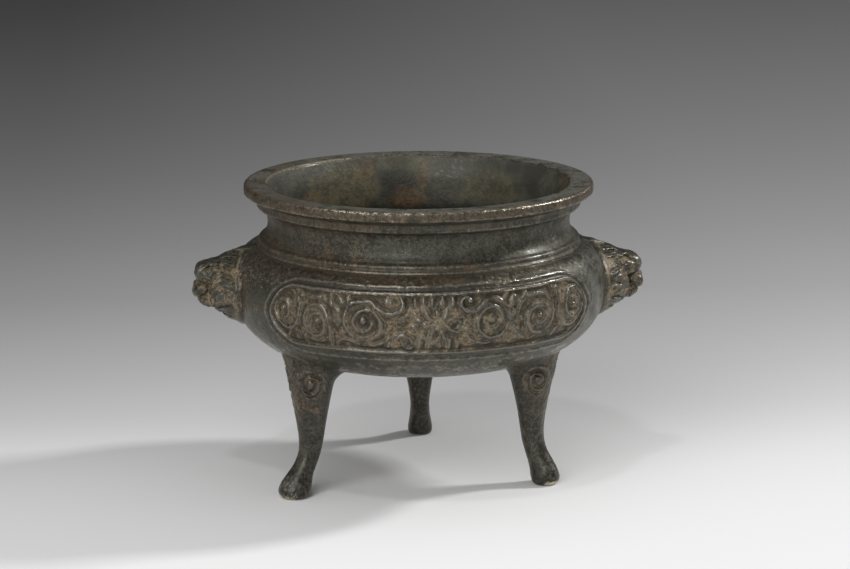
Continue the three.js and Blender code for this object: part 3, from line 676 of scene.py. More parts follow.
def scroll_relief(across, height, rise):
    """The scrolls' height above the cartouche's ground, in millimetres."""
    field = np.zeros(len(across))
    for half_width, share, points in SCROLL_BANDS:
        raise_line(field, across, height, half_width, share * rise, points, ribs=True)
    for half_width, share, points in SCROLL_LINES:
        raise_line(field, across, height, half_width, share * rise, points)
    for a, h, half_length, half_width, turn, share in LEAVES:
        raise_leaf(field, across, height, (a, h), half_length, half_width, math.radians(turn), share * rise)
    for ring, (count, reach, size, width, share) in enumerate(LOTUS_RINGS):
        for petal in range(count):
            turn = 2 * math.pi * (petal + 0.5 * ring) / count + LOTUS_TURN
            away = reach * np.array([math.cos(turn), math.sin(turn) * LOTUS_FLATTENING])
            raise_leaf(field, across, height, LOTUS_MIDDLE + away, size, width, turn, share * rise)
    for half_width, share, places, points in LOTUS_STALKS:
        for at in places:
            stalk = [(at * lean, h) for lean, h in points]
            raise_line(field, across, height, half_width, share * rise, stalk)
    beads = [*BOSSES, *MIDDLE_BEADS]
    for (a, h), reach, tall, first, radius, share in BEAD_RINGS:
        for bead in range(BEADS_IN_RING):
            turn = 2 * math.pi * bead / BEADS_IN_RING + first
            beads.append((a + reach * math.cos(turn), h + tall * math.sin(turn), radius, share))
    for a, h, radius, share in beads:
        gap = ((across - a) ** 2 + (height - h) ** 2) / radius**2
        np.maximum(field, share * rise * np.clip(1.0 - gap, 0.0, 1.0) ** 0.5, out=field)
    return field


# The cartouche's outline: half its height, where its ends start to close, its tips and how blunt they are
CARTOUCHE_HALF_HEIGHT = 10.4
CARTOUCHE_CORNER = 47.4
CARTOUCHE_TIP = 57.0
TIP_BLUNTNESS = 4.0
CORNER_BEND = 4.4
# Unevenness of its outline and its ground, and wear of the scrolls: (size of the lumps, height)
OUTLINE_WANDER = ((6.0, 0.2), (2.0, 0.07))
GROUND_SKIN = ((1.4, 0.12), (0.6, 0.08))
SCROLL_WANDER = 0.25
# The band between its two edge lines, which is wider along the bottom
BAND_WIDTH = 1.75
BAND_EXTRA = 0.7
OUTER_LINE_WIDTH = 0.4
INNER_LINE_WIDTH = 0.5
INNER_LINE_RISE = 0.3
CHANNEL_DEPTH = 0.28


def inside_cartouche(across, height):
    """Distance in from the cartouche's pointed outline, negative outside it."""
    rise = np.abs(height - PANEL_MIDDLE_Z)
    closing = CARTOUCHE_TIP - CARTOUCHE_CORNER
    slope = np.array([CARTOUCHE_HALF_HEIGHT, closing]) / math.hypot(CARTOUCHE_HALF_HEIGHT, closing)
    flat = CARTOUCHE_HALF_HEIGHT - rise
    point = (CARTOUCHE_TIP - np.abs(across)) * slope[0] - np.hypot(rise, TIP_BLUNTNESS) * slope[1]
    low, high = np.minimum(flat, point), np.maximum(flat, point)
    rounded = CORNER_BEND - np.hypot(np.maximum(CORNER_BEND - low, 0.0), np.maximum(CORNER_BEND - high, 0.0))
    return np.where(high < CORNER_BEND, rounded, low)


def soften(values, shape, passes=2):
    """Values on a grid of the given shape, each drawn towards its neighbours."""
    grid = values.reshape(shape)
    for _ in range(passes):
        for axis in (0, 1):
            grid = 0.5 * grid + 0.25 * (np.roll(grid, 1, axis) + np.roll(grid, -1, axis))
    return grid.ravel()


def cartouche_height(across, height, shape, sizes, seed):
    """The surface's height over the plain belly, with masks of the sunk field and of its channel."""
    spot = np.stack([across, height, np.full(len(across), 3.0 * seed)], 1)
    inset = inside_cartouche(across, height) + layered(spot, OUTLINE_WANDER, seed)
    ground = layered(spot, GROUND_SKIN, seed + 2) - sizes.ground_depth / MM
    worn = 0.86 + 0.3 * lumps(spot, 4.0, seed + 4) + 0.16 * lumps(spot, 1.2, seed + 9)
    moved = [part + SCROLL_WANDER * lumps(spot, 3.0, seed + k) for part, k in ((across, 5), (height, 6))]
    scroll = soften(scroll_relief(*moved, sizes.scroll_rise / MM), shape)
    wide = BAND_WIDTH + BAND_EXTRA * smooth(3.0, 9.0, PANEL_MIDDLE_Z - height)
    field = smooth(wide + 0.25, wide + 0.7, inset)
    channel = smooth(0.25, 0.6, inset) * (1.0 - smooth(wide - 0.6, wide - 0.1, inset))
    outer_line = sizes.frame_rise / MM * np.exp(-((inset / OUTER_LINE_WIDTH) ** 2))
    outer_line *= 0.8 + 0.6 * lumps(spot, 4.0, seed + 7)
    inner_line = INNER_LINE_RISE * np.exp(-(((inset - wide) / INNER_LINE_WIDTH) ** 2))
    inner_line *= 0.9 + 0.4 * lumps(spot, 3.0, seed + 8)
    lift = field * (ground + scroll * worn) + outer_line + inner_line - CHANNEL_DEPTH * channel
    return lift, field, channel


def spaced(stops, spacings):
    """Places between the stops, each stretch cut into equal steps of about its own spacing."""
    places = []
    for low, high, spacing in zip(stops, stops[1:], spacings):
        count = max(int(round((high - low) / spacing)), 1)
        places.append(np.linspace(low, high, count + 1)[:-1])
    return np.concatenate(places + [np.array(stops[-1:])])


def belly_path():
    """The belly's outside from the flat underside up, as points of (radius, height)."""
    start = [(UNDERSIDE_EDGE, UNDERSIDE_Z)]
    return resampled(np.vstack([start, bezier(BELLY_LOWER, 300), bezier(BELLY_UPPER, 200)[1:]]), 0.05)


def belly_radius(height):
    path = belly_path()
    return np.interp(height, path[:, 1], path[:, 0])


def quads(rings):
    """Faces between each ring of points and the next, which has as many."""
    faces = []
    for first, second in zip(rings, rings[1:]):
        for i, following in enumerate((*range(1, len(first)), 0)):
            faces.append((first[i], first[following], second[following], second[i]))
    return faces


def numbered(first, count, size):
    """The numbers of the points in some rings of the same size, from a first number on."""
    return (first + np.arange(count * size)).reshape(count, size).tolist()


def fan(middle, ring):
    """Faces from a ring of points to a middle one."""
    return [(middle, ring[(i + 1) % len(ring)], ring[i]) for i in range(len(ring))]


def funnel(outer, inner):
    """Faces between a fine ring and a coarse one whose count divides it."""
    share = len(outer) // len(inner)
    faces = []
    for k, tip in enumerate(inner):
        following = inner[(k + 1) % len(inner)]
        for j in range(share):
            i = k * share + j
            near = tip if j < share // 2 else following
            faces.append((outer[i], outer[(i + 1) % len(outer)], near))
        faces.append((outer[(k * share + share // 2) % len(outer)], following, tip))
    return faces


# Angle from a cartouche's middle to where the columns of points are wider apart, and to where it is drawn
PANEL_FINE_TURN = 61.5
PANEL_TURN = 62.0
# Heights between which the rows of points are close together, and between which it is drawn
PANEL_FINE_ROWS = (44.6, 66.2)
PANEL_ROWS = (44.0, 67.0)
# Middle of each cartouche, in radians, and the seed of its unevenness
PANELS = ((-math.pi / 2, 11), (math.pi / 2, 47))
# The belly's inner side, which the lining hides: heights down the wall, and that of its floor
WALL_HEIGHTS = (65.5, 62.0, 57.0, 51.0, 46.0, 42.0, 39.0, 37.6)
WALL_FLOOR_Z = UNDERSIDE_Z + 1.0
# The most columns of the outside that one column of the inner side stands for
WALL_COLUMNS_SHARE = 10
# The channel round a cartouche is darkened above this height
DARK_CHANNEL_Z = 55.0


class CENSER_OT_belly(bpy.types.Operator):
    """Model the belly with a scroll cartouche at the front and at the back"""

    bl_idname = "censer.model_belly"
    bl_label = "Belly and cartouches"

    def execute(self, context):
        sizes = context.scene.censer_sizes
        cell = sizes.cell / MM
        rows, radius, height, normal = self.profile(cell)
        column = math.degrees(cell / PANEL_RADIUS)
        half = spaced((-90.0, -PANEL_FINE_TURN, PANEL_FINE_TURN, 90.0), (1.0, column, 1.0))[:-1]
        turn = np.radians(np.concatenate([half - 90.0, half + 90.0]))
        cos, sin = np.cos(turn), np.sin(turn)
        level = np.broadcast_to(height[:, None], (len(rows), len(turn)))
        plain = np.stack([radius[:, None] * cos, radius[:, None] * sin, level], -1)

        lift, field, channel = self.panels(turn, height, sizes)
        hold = smooth(0.0, 1.2, rows[-1] - rows)[:, None]
        lift = lift + hold * casting_skin(plain, sizes.unevenness / MM, 5)
        out = radius[:, None] + lift * normal[:, :1]
        points = np.stack([out * cos, out * sin, level + lift * normal[:, 1:]], -1).reshape(-1, 3)
        made = self.closed_shell(points, turn, len(rows), (radius[-1], height[-1]), sizes.skin / MM)

        hidden = np.zeros(len(made.data.vertices) - lift.size)
        marks = self.staining(plain, field, channel)
        mark(made, **{name: np.append(values, hidden) for name, values in marks.items()})
        material = patina("belly_patina", context.scene.censer_finish, wear=0.9, gloss=0.06, tone=0.88)
        seat(made, material, ["bowl"])
        return {"FINISHED"}

    def profile(self, cell):
        """The rows of points up the belly: place along it, radius, height and outward direction."""
        path = belly_path()
        along = np.concatenate([[0.0], np.cumsum(np.linalg.norm(np.diff(path, axis=0), axis=1))])
        low, high = (float(np.interp(z, path[:, 1], along)) for z in PANEL_FINE_ROWS)
        rows = spaced((0.0, low, high, float(along[-1])), (1.0, cell, 0.5))
        radius = np.interp(rows, along, path[:, 0])
        height = np.interp(rows, along, path[:, 1])
        slope = np.stack([np.gradient(radius, rows), np.gradient(height, rows)], 1)
        slope /= np.linalg.norm(slope, axis=1)[:, None]
        return rows, radius, height, np.stack([slope[:, 1], -slope[:, 0]], 1)

    def panels(self, turn, height, sizes):
        """Height of both cartouches over the plain belly, with masks of their fields and channels."""
        grids = np.zeros((3, len(height), len(turn)))
        reach = np.flatnonzero((height > PANEL_ROWS[0]) & (height < PANEL_ROWS[1]))
        for middle, seed in PANELS:
            swing = (turn - middle + math.pi) % (2 * math.pi) - math.pi
            columns = np.flatnonzero(np.abs(swing) < math.radians(PANEL_TURN))
            across, z = np.meshgrid(swing[columns] * PANEL_RADIUS, height[reach])
            drawn = cartouche_height(across.ravel(), z.ravel(), across.shape, sizes, seed)
            for grid, values in zip(grids, drawn):
                grid[np.ix_(reach, columns)] = values.reshape(across.shape)
        return grids

    def closed_shell(self, points, turn, row_count, top, skin):
        """The belly as a closed solid: its outside, an inner side of fewer points, and a floor."""
        share = next(share for share in range(WALL_COLUMNS_SHARE, 0, -1) if len(turn) % share == 0)
        few = turn[::share]
        wall = [(top[0] - skin, top[1])]
        wall += [(float(belly_radius(z)) - skin, z) for z in WALL_HEIGHTS]
        wall += [(UNDERSIDE_EDGE, WALL_FLOOR_Z)]
        stack = [points]
        for r, z in wall:
            stack.append(np.stack([r * np.cos(few), r * np.sin(few), np.full(len(few), z)], 1))
        stack.append(np.array([[0.0, 0.0, WALL_FLOOR_Z], [0.0, 0.0, UNDERSIDE_Z]]))
        outside = numbered(0, row_count, len(turn))
        inside = numbered(len(points), len(wall), len(few))
        last = len(points) + len(wall) * len(few)
        faces = quads(outside) + funnel(outside[-1], inside[0]) + quads(inside) + fan(last, inside[-1])
        faces += [face[::-1] for face in fan(last + 1, outside[0])]
        return put_mesh("belly", np.vstack(stack), faces)

    def staining(self, points, field, channel):
        """Where the belly is soiled, browned and rubbed, given a painted sheen and darkened: cartouches,
        shoulder and flanks.
        """
        x, y, z = points[..., 0], points[..., 1], points[..., 2]
        broad = lumps(points, 8.0, 61)
        shoulder = smooth(64.5, 66.5, z) * (0.75 + 0.5 * broad - 0.75 * smooth(0.0, 25.0, x) * (y < 0))
        flank = smooth(62.0, 75.0, np.abs(np.degrees(np.arctan2(x, -y)))) * (x < 0)
        rough = flank * smooth(50.0, 57.0, z + 3.0 * broad) * (np.abs(y) < 45)
        leafy = smooth(-0.1, 0.5, lumps(points, 5.0, 67)) * 0.75
        # Browner on the left, and darker there with painted shade
        left = smooth(-10.0, 40.0, -x)
        edge = np.exp(-(((field - 0.12) / 0.14) ** 2)) * smooth(60.0, 62.0, z)
        upper_channel = channel * (z > DARK_CHANNEL_Z)
        worn = {
            "soiled": field * (1.0 - leafy * 0.6) + 0.55 * rough,
            "browned": 0.25 * field + shoulder + 0.6 * rough + 0.35 * left,
            "rubbed": 0.6 * edge * (0.85 + 0.5 * broad) + 0.2 * rough,
            # Painted sheen on the right side; below zero, painted shade on the left side and darker bands on
            # the shoulder and in the upper channel
            "paled": 0.7 * smooth(15.0, 48.0, x) * (1.0 - field) - upper_channel - 0.25 * shoulder - 0.3 * left,
        }
        return {name: values.ravel() for name, values in worn.items()}


# Turned pieces


TURNING_INPUTS = {
    "Profile": "Geometry", "Segments": "Int", "Unevenness": "Float", "Grain": "Float", "Seed": "Float",
    "Material": "Material",
}


def turning_tree():
    """Geometry nodes that turn an upright profile of points round Z and roughen the skin."""
    tree = bpy.data.node_groups.new("turned_bronze", "GeometryNodeTree")
    sheet = Sheet(tree)
    tree.interface.new_socket("Geometry", in_out="OUTPUT", socket_type="NodeSocketGeometry")
    for name, kind in TURNING_INPUTS.items():
        tree.interface.new_socket(name, in_out="INPUT", socket_type="NodeSocket" + kind)
    inputs = tree.nodes.new("NodeGroupInput")
    given = {socket.name: Value(sheet, socket) for socket in inputs.outputs if socket.name}

    # A grid whose columns go round Z and whose rows take the profile's points
    place = sheet.node("GeometryNodeInputPosition")
    profile = {0: given["Profile"]}
    rows = sheet.node("GeometryNodeAttributeDomainSize", {"component": "MESH"}, profile, out="Point Count")
    columns = given["Segments"] + 1.0
    size = {"Size X": 1.0, "Size Y": 1.0, "Vertices X": columns, "Vertices Y": rows}
    grid = sheet.node("GeometryNodeMeshGrid", {}, size)
    row = sheet.maths("ROUND", (sheet.split(place, "Y") + 0.5) * (rows - 1.0))
    sample = {"Geometry": given["Profile"], "Value": place, "Index": row}
    found = sheet.node("GeometryNodeSampleIndex", {"data_type": "FLOAT_VECTOR", "domain": "POINT"}, sample)
    radius = sheet.split(found, "X")
    angle = (sheet.split(place, "X") + 0.5) * (2 * math.pi)
    x, y = (radius * sheet.maths(side, angle) for side in ("COSINE", "SINE"))
    corner = sheet.node("ShaderNodeCombineXYZ", {}, {"X": x, "Y": y, "Z": sheet.split(found, "Z")})
    turned = sheet.node("GeometryNodeSetPosition", {}, {"Geometry": grid, "Position": corner})
    closed = sheet.node("GeometryNodeMergeByDistance", {}, {"Geometry": turned, "Distance": 1e-6})

    # The uneven skin
    noise = {"Vector": place, "W": given["Seed"], "Scale": given["Grain"], "Detail": 4.0, "Roughness": 0.6}
    bumps = sheet.node("ShaderNodeTexNoise", {"noise_dimensions": "4D"}, noise)
    push = {0: sheet.node("GeometryNodeInputNormal"), "Scale": (bumps - 0.5) * given["Unevenness"]}
    away = sheet.node("ShaderNodeVectorMath", {"operation": "SCALE"}, push)
    rough = sheet.node("GeometryNodeSetPosition", {}, {"Geometry": closed, "Offset": away})
    even = sheet.node("GeometryNodeSetShadeSmooth", {}, {"Geometry": rough})
    real = sheet.node("GeometryNodeRealizeInstances", {}, {"Geometry": even})
    dressed = sheet.node("GeometryNodeSetMaterial", {}, {"Geometry": real, "Material": given["Material"]})
    output = tree.nodes.new("NodeGroupOutput")
    tree.links.new(dressed.socket, output.inputs[0])
    return tree


def turned_piece(name, profile, inputs):
    """A closed solid turned from a profile of (radius, height) that starts and ends on the axis."""
    mesh = bpy.data.meshes.new(name + "_profile")
    points = [(r * MM, 0.0, z * MM) for r, z in profile]
    mesh.from_pydata(points, [(i, i + 1) for i in range(len(points) - 1)], [])
    holder = bpy.data.objects.new(name, mesh)
    bpy.context.scene.collection.objects.link(holder)
    tree = bpy.data.node_groups.get("turned_bronze") or turning_tree()
    modifier = holder.modifiers.new("Turning", "NODES")
    modifier.node_group = tree
    for item in tree.interface.items_tree:
        if item.in_out == "INPUT" and item.name in inputs:
            modifier[item.identifier] = inputs[item.name]
    bpy.context.view_layer.update()
    evaluated = holder.evaluated_get(bpy.context.evaluated_depsgraph_get())
    made = bpy.data.meshes.new_from_object(evaluated)
    holder.modifiers.clear()
    holder.data = made
    made.name = name
    if signed_volume(made) < 0:
        made.flip_normals()
    return holder


# Back of the lining, which stays clear of the belly's own shell, and the collar's foot inside the shoulder
LINING_GAP = 0.1
LINING_BACK = (
    (28.0, 37.1), (36.0, 37.9), (41.0, 39.6), (45.0, 42.6), (48.6, 46.6), (51.0, 51.0),
    (54.0, 54.5), (54.0, 58.0), (54.0, 61.5), (54.0, 64.5), (54.0, 66.6),
)
COLLAR_FOOT = (45.0, 67.6)
# The lining's skin reaches up to this radius at the mouth, and to this height in the shoulder's hollow
MOUTH_EDGE = 41.9
MOUTH_WIDENING = 1.2
HOLLOW_TOP = 67.5
NECK_INSIDE = 42.4
# Edges of the lip and the shoulder's beads, which are rubbed bare: (distance from the axis, height, width)
LIP_OUTER_EDGE = (49.75, 85.75, 0.42)
LIP_LOWER_EDGE = (49.85, 83.3, 0.35)
LIP_INNER_EDGE = (43.4, 85.9, 0.45)
UPPER_BEAD = (45.98, 69.9, 0.4)
LOWER_BEAD = (46.6, 68.4, 0.4)


class CENSER_OT_collar(bpy.types.Operator):
    """Turn the shoulder beads, neck, lip and lining from one profile"""

    bl_idname = "censer.turn_collar"
    bl_label = "Collar, lip and lining"

    def execute(self, context):
        sizes = context.scene.censer_sizes
        finish = context.scene.censer_finish
        skin = sizes.skin / MM + LINING_GAP
        outside = resampled(np.array(COLLAR), 0.42)
        lining = resampled(np.array(COLLAR[-1:] + HOLLOW), 1.3)[1:]
        back = [(min(r, float(belly_radius(z)) - skin), z) for r, z in LINING_BACK]
        profile = [(0.0, LINING_BACK[0][1]), *back, COLLAR_FOOT, *outside, *lining, (0.0, HOLLOW[-1][1])]
        material = patina("collar_patina", finish, offset=0.21, wear=0.7, tone=0.94, interior=True)
        inputs = {"Segments": sizes.turns, "Unevenness": sizes.unevenness * 3.0, "Grain": 260.0, "Seed": 4.0}
        made = turned_piece("rim_and_neck", profile, {**inputs, "Material": material})
        points = points_of(made.data) / MM
        reach = np.hypot(points[:, 0], points[:, 1])
        edge = MOUTH_EDGE + MOUTH_WIDENING * smooth(79.0, 85.6, points[:, 2])
        inside = np.maximum(1.0 - smooth(-0.3, 0.3, reach - edge), points[:, 2] < HOLLOW_TOP)
        keep_attribute(made.data, "inside", inside)
        self.mark_edges(made, points, reach)
        seat(made, material, ["bowl"])
        return {"FINISHED"}

    def mark_edges(self, made, points, reach):
        """The lip's edges are rubbed bare, its side and the shoulder are browned, and the lip's top and the
        neck's right side get a painted sheen.
        """
        x, y, z = points.T
        broad = lumps(points, 9.0, 71)
        handled = 0.62 + 0.3 * broad - 0.5 * smooth(28.0, 46.0, -x) * (y < 10)
        outer = reach > NECK_INSIDE

        def near(r, level, size):
            """Nearness to an edge that goes round at a radius and height."""
            return np.exp(-(((reach - r) / size) ** 2) - ((z - level) / size) ** 2)

        rubbed = near(*LIP_OUTER_EDGE) * handled * 1.15
        rubbed += near(*LIP_LOWER_EDGE) * (handled - 0.16)
        rubbed += near(*LIP_INNER_EDGE) * (0.3 + 0.75 * smooth(5.0, 25.0, -x) * (y > 0))
        rubbed += near(*UPPER_BEAD) * 0.3 + near(*LOWER_BEAD) * 0.26
        side = smooth(48.6, 49.4, reach) * smooth(82.6, 83.2, z)
        under = np.exp(-(((z - 81.0) / 1.6) ** 2)) * 0.45 + np.exp(-(((z - 69.6) / 1.3) ** 2)) * 0.55
        browned = side * (0.4 + 0.3 * smooth(-35.0, -5.0, x)) + 0.15 * broad
        browned += under * outer * (1.0 - 0.6 * smooth(0.0, 30.0, x)) + 0.45 * smooth(0.0, 35.0, -x)
        soiled = 0.55 * side * smooth(-25.0, 5.0, x) + 0.25 * under * outer
        # Painted sheen on the lip's top and on the right side of the neck
        top = smooth(85.5, 86.0, z) * (0.8 + 0.5 * lumps(points, 4.0, 73))
        paled = top + 0.4 * smooth(10.0, 40.0, x) * outer * (z < 82.0)
        mark(made, fine=3, broad=16, soiled=soiled, browned=browned, rubbed=rubbed, paled=paled)


# A rivet's domed head and its shank: (radius, depth behind the head's top)
RIVET_HEAD = ((0.0, 0.0), (2.2, 0.0), (3.2, 0.5), (3.2, 1.8))
RIVET_SHANK = ((1.6, 1.9), (1.6, 7.0), (0.0, 7.0))
RIVET_SKIN = {"Segments": 40, "Unevenness": 0.0002, "Grain": 700.0, "Seed": 2.0}


class CENSER_OT_rivets(bpy.types.Operator):
    """Turn the two rivets that hold the lion masks, seen only inside the bowl"""

    bl_idname = "censer.turn_rivets"
    bl_label = "Mask rivets"

    def execute(self, context):
        finish = context.scene.censer_finish
        material = patina("rivet_patina", finish, wear=0.8, offset=0.5)
        for side, angle in (("left", math.pi), ("right", 0.0)):
            node = "mask_rivet_" + side
            low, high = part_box(node)
            inner = min(abs(low.x), abs(high.x)) / MM
            head = bezier([(r, inner + depth) for r, depth in RIVET_HEAD], 12)
            shank = [(r, inner + depth) for r, depth in RIVET_SHANK]
            made = turned_piece("rivet_" + side, [*head, *shank], {**RIVET_SKIN, "Material": material})
            lying = Matrix.Rotation(angle, 4, "Z") @ Matrix.Translation((0, 0, (low.z + high.z) / 2))
            made.data.transform(lying @ Matrix.Rotation(math.pi / 2, 4, "Y"))
            mark(made, fine=3, broad=8, browned=0.4)
            seat(made, material, [node])
        return {"FINISHED"}


# Legs


LEGS = (
    # node, turn in degrees, ankle's distance from the axis, kick of the foot, its size, height of the volutes
    ("leg_front_left", 212.3, 38.5, 5.9, 1.05, 33.3),
    ("leg_front_right", 333.3, 34.5, 4.1, 0.94, 31.8),
    ("leg_rear", 84.9, 37.45, 4.7, 0.9, 32.5),
)
STAND = 35.5
# Sections of a leg: height as a share of STAND, then shares of the foot's kick, of the depth and of the width
LEG_HEIGHTS = (0, 0.015, 0.06, 0.12, 0.19, 0.27, 0.35, 0.45, 0.57, 0.7, 0.82, 0.91, 0.97, 1.04, 1.14, 1.26)
LEG_KICKS = (1.02, 1.04, 1.02, 0.91, 0.66, 0.34, 0.13, 0.03, 0.01, 0.01, -0.01, -0.03, -0.08, -0.09, 0, 0.1)
LEG_DEPTHS = (0.9, 1.14, 1.33, 1.29, 1.13, 1, 0.97, 1.01, 1.15, 1.4, 1.68, 1.92, 2.1, 2.25, 2.35, 2.4)
LEG_WIDTHS = (1.08, 1.29, 1.37, 1.24, 1.06, 0.97, 1.01, 1.17, 1.42, 1.68, 1.86, 1.99, 2.1, 2.2, 2.25, 2.3)
LEG_DEPTH = 3.3
LEG_WIDTH = 3.0
LEG_COLUMNS = 96
LEG_SQUARENESS = 0.9
# Heights between which a leg's rows of points are evenly apart, and how far apart they are
LEG_ROWS = (0.0, 3.0, 16.0, 40.0)
LEG_ROW_SPACINGS = (0.22, 0.45, 0.22)
# From here up the rows of points bend to follow the belly, into which the leg's end is let
KNEE_Z = 26.0
LEG_BURIED = 0.7
LEG_TOP_GUESS = 38.0
# Carving on the knee: the volutes' place round the leg, radius and spacing, and the leaf's ribs above them
VOLUTE_TURN = math.radians(54)
VOLUTE_RADIUS = 3.2
VOLUTE_SPACING = 1.7
LEAF_RIBS = (0.0, 2.2, 4.2)


def knee_relief(turn, height, girth, volute, wander):
    """Carving on the upper leg: a volute on each flank, a leaf in front and rough work below it."""
    lift = np.zeros_like(height)
    patch = np.zeros_like(height)
    for side in (-1, 1):
        x = (turn - side * VOLUTE_TURN) * girth * side + wander[0]
        y = height - volute + wander[1]
        ring = np.hypot(x, y * np.where(y < 0, 0.85, 1.0))
        way = (np.arctan2(y, x) + math.pi) / (2 * math.pi)
        spiral = (ring - VOLUTE_RADIUS + VOLUTE_SPACING * way) / VOLUTE_SPACING
        within = 1.0 - smooth(3.4, 4.0, ring)
        lift += within * (0.3 * np.cos(2 * np.pi * spiral) - 0.1) * smooth(0.6, 1.4, ring)
        lift += 0.4 * np.clip(1.0 - (ring / 1.2) ** 2, 0.0, 1.0) ** 0.6
        lift += 0.3 * np.exp(-(((ring - 4.0) / 0.5) ** 2)) * smooth(-3.0, 1.0, y)
        wedge = smooth(-1.0, 1.0, 0.42 * (y + 13.0) - np.abs(x)) * (1.0 - smooth(3.5, 6.5, y))
        patch = np.maximum(patch, wedge)
    x = turn * girth + wander[0]
    for shift in LEAF_RIBS:
        rib = height - (volute - 0.9 + shift) - 1.7 * np.abs(x)
        lift += 0.3 * np.exp(-((rib / 0.5) ** 2)) * (1.0 - smooth(2.2, 2.8, np.abs(x)))
    front = smooth(-1.2, 0.6, 0.35 * (height - 19.0) - np.abs(x))
    return lift, np.maximum(patch, front) * smooth(17.0, 21.0, height)


class CENSER_OT_legs(bpy.types.Operator):
    """Model the three cabriole legs with carved knees and worn feet"""

    bl_idname = "censer.model_legs"
    bl_label = "Legs"

    def execute(self, context):
        sizes = context.scene.censer_sizes
        finish = context.scene.censer_finish
        material = patina("leg_patina", finish, offset=0.83, wear=0.5, gloss=0.12, tone=0.56)
        for index, (node, turn, ankle, kick, foot, volute) in enumerate(LEGS):
            seed = 100 + 7 * index
            made, patch = self.one_leg(node, math.radians(turn), ankle, kick, foot, volute, sizes, seed)
            points = points_of(made.data) / MM
            toe = np.hypot(points[:, 0], points[:, 1]) - ankle - kick
            mark(made, fine=6, broad=30, **self.staining(points, toe, patch, 130 + index))
            seat(made, material, [node])
        return {"FINISHED"}

    def staining(self, points, toe, patch, seed):
        """Where a leg is soiled, browned and rubbed, and given a painted highlight: its rough knee, its sole
        and the top of its foot.
        """
        z = points[:, 2]
        broad = lumps(points, 3.0, seed)
        outer = smooth(-1.0, 3.5, toe)
        sole = (1.0 - smooth(0.5, 1.9, z)) * outer * (0.75 + 0.5 * broad)
        sole += (1.0 - smooth(3.0, 9.0, z)) * outer * (0.2 + 0.2 * broad)
        return {
            "soiled": patch * smooth(21.0, 29.0, z) * (0.6 + 0.4 * broad),
            "browned": patch * 0.5 + 0.3 * sole,
            "rubbed": sole,
            # Painted highlight on the top of the foot, toward the toe
            "paled": 0.7 * (1.0 - smooth(3.0, 12.0, z)) * smooth(-3.0, 2.0, toe),
        }

    def one_leg(self, node, angle, ankle, kick, foot, volute, sizes, seed):
        """One leg, which ends inside the belly's skin, and where its knee is rough."""
        turn = 2 * np.pi * np.arange(LEG_COLUMNS) / LEG_COLUMNS
        x, y = (np.sign(side) * np.abs(side) ** LEG_SQUARENESS for side in (np.cos(turn), np.sin(turn)))
        stations = np.array(LEG_HEIGHTS) * STAND

        def at(shares, z):
            """Shares carried smoothly from station to station, read at a height."""
            path = flowing(np.stack([stations, np.array(shares)], 1), 0.05)
            return np.interp(z, np.maximum.accumulate(path[:, 0]), path[:, 1])

        def section(z):
            """Distance out, half depth and half width at a height."""
            grown = 1.0 + (foot - 1.0) * (1.0 - smooth(3.0, 9.0, z))
            depth = LEG_DEPTH * at(LEG_DEPTHS, z) * grown
            width = LEG_WIDTH * at(LEG_WIDTHS, z) * grown
            return ankle + kick * at(LEG_KICKS, z), depth, width

        # The top of each column, which settles a little inside the belly's underside
        top = np.full(LEG_COLUMNS, LEG_TOP_GUESS)
        for _ in range(4):
            out, depth, width = section(top)
            top = self.underside(np.hypot(out + depth * x, width * y)) + LEG_BURIED
        rows = spaced(LEG_ROWS, LEG_ROW_SPACINGS)
        share = np.clip((rows - KNEE_Z) / (rows[-1] - KNEE_Z), 0.0, 1.0)[:, None]
        z = np.where(rows[:, None] < KNEE_Z, rows[:, None], KNEE_Z + (top - KNEE_Z) * share)
        out, depth, width = section(z)
        swing = np.broadcast_to(np.where(turn > np.pi, turn - 2 * np.pi, turn), z.shape)
        u, t = out + depth * x, width * y
        spot = np.stack([u, t, z], -1)
        wander = [lumps(spot, 2.6, seed + part) * 0.35 for part in (20, 21)]
        relief, patch = knee_relief(swing, z, np.sqrt(depth * width), volute, wander)
        leafwork = lumps(spot, 1.3, seed + 9) * 0.13 + lumps(spot, 0.7, seed + 10) * 0.08
        buried = smooth(0.0, 1.2, top - z)
        lift = buried * (relief + casting_skin(spot, sizes.unevenness / MM, seed) + patch * leafwork)

        # The curve into the belly, which is fullest at the sides and inside
        radius = sizes.fillet / MM
        inward = 0.12 + 0.88 * smooth(-0.1, 0.7, -np.cos(swing)) + 0.35 * np.abs(np.sin(swing)) ** 2
        for _ in range(2):
            gap = np.clip(1.0 - (self.underside(np.hypot(u, t)) - z) / radius, 0.0, 1.0)
            flare = radius * (1.0 - np.sqrt(1.0 - gap**2)) * inward * 0.8
            u = out + (depth + flare + lift) * x
            t = (width + flare + lift) * y
            z[-1] = np.minimum(z[-1], self.underside(np.hypot(u[-1], t[-1])) + LEG_BURIED)

        # Turned to its place, and closed at the sole and inside the belly
        cos, sin = math.cos(angle), math.sin(angle)
        points = np.stack([u * cos - t * sin, u * sin + t * cos, z], -1)
        cap = points[-1].mean(0)
        cap[2] = self.underside(np.hypot(cap[0], cap[1])) + 0.6
        last = points.size // 3
        rings = numbered(0, len(rows), LEG_COLUMNS)
        faces = quads(rings) + fan(last, rings[0])
        faces += [face[::-1] for face in fan(last + 1, rings[-1])]
        stack = np.vstack([points.reshape(-1, 3), [points[0].mean(0)], [cap]])
        return put_mesh(node.replace("leg_", "cabriole_leg_"), stack, faces), np.append(patch, [0.0, 0.0])

    def underside(self, reach):
        """Height of the belly's underside at a distance from the axis."""
        path = belly_path()
        lower = slice(0, path[:, 0].argmax())
        return np.interp(reach, path[lower, 0], path[lower, 1])


# Lion masks


def melt(first, second, blend):
    """Union of two distance fields with a soft seam."""
    share = np.clip(0.5 + 0.5 * (second - first) / blend, 0.0, 1.0)
    return second + (first - second) * share - blend * share * (1.0 - share)


def carve(field, cutter, blend):
    """What a cutter leaves of a distance field."""
    return -melt(-field, cutter, blend)


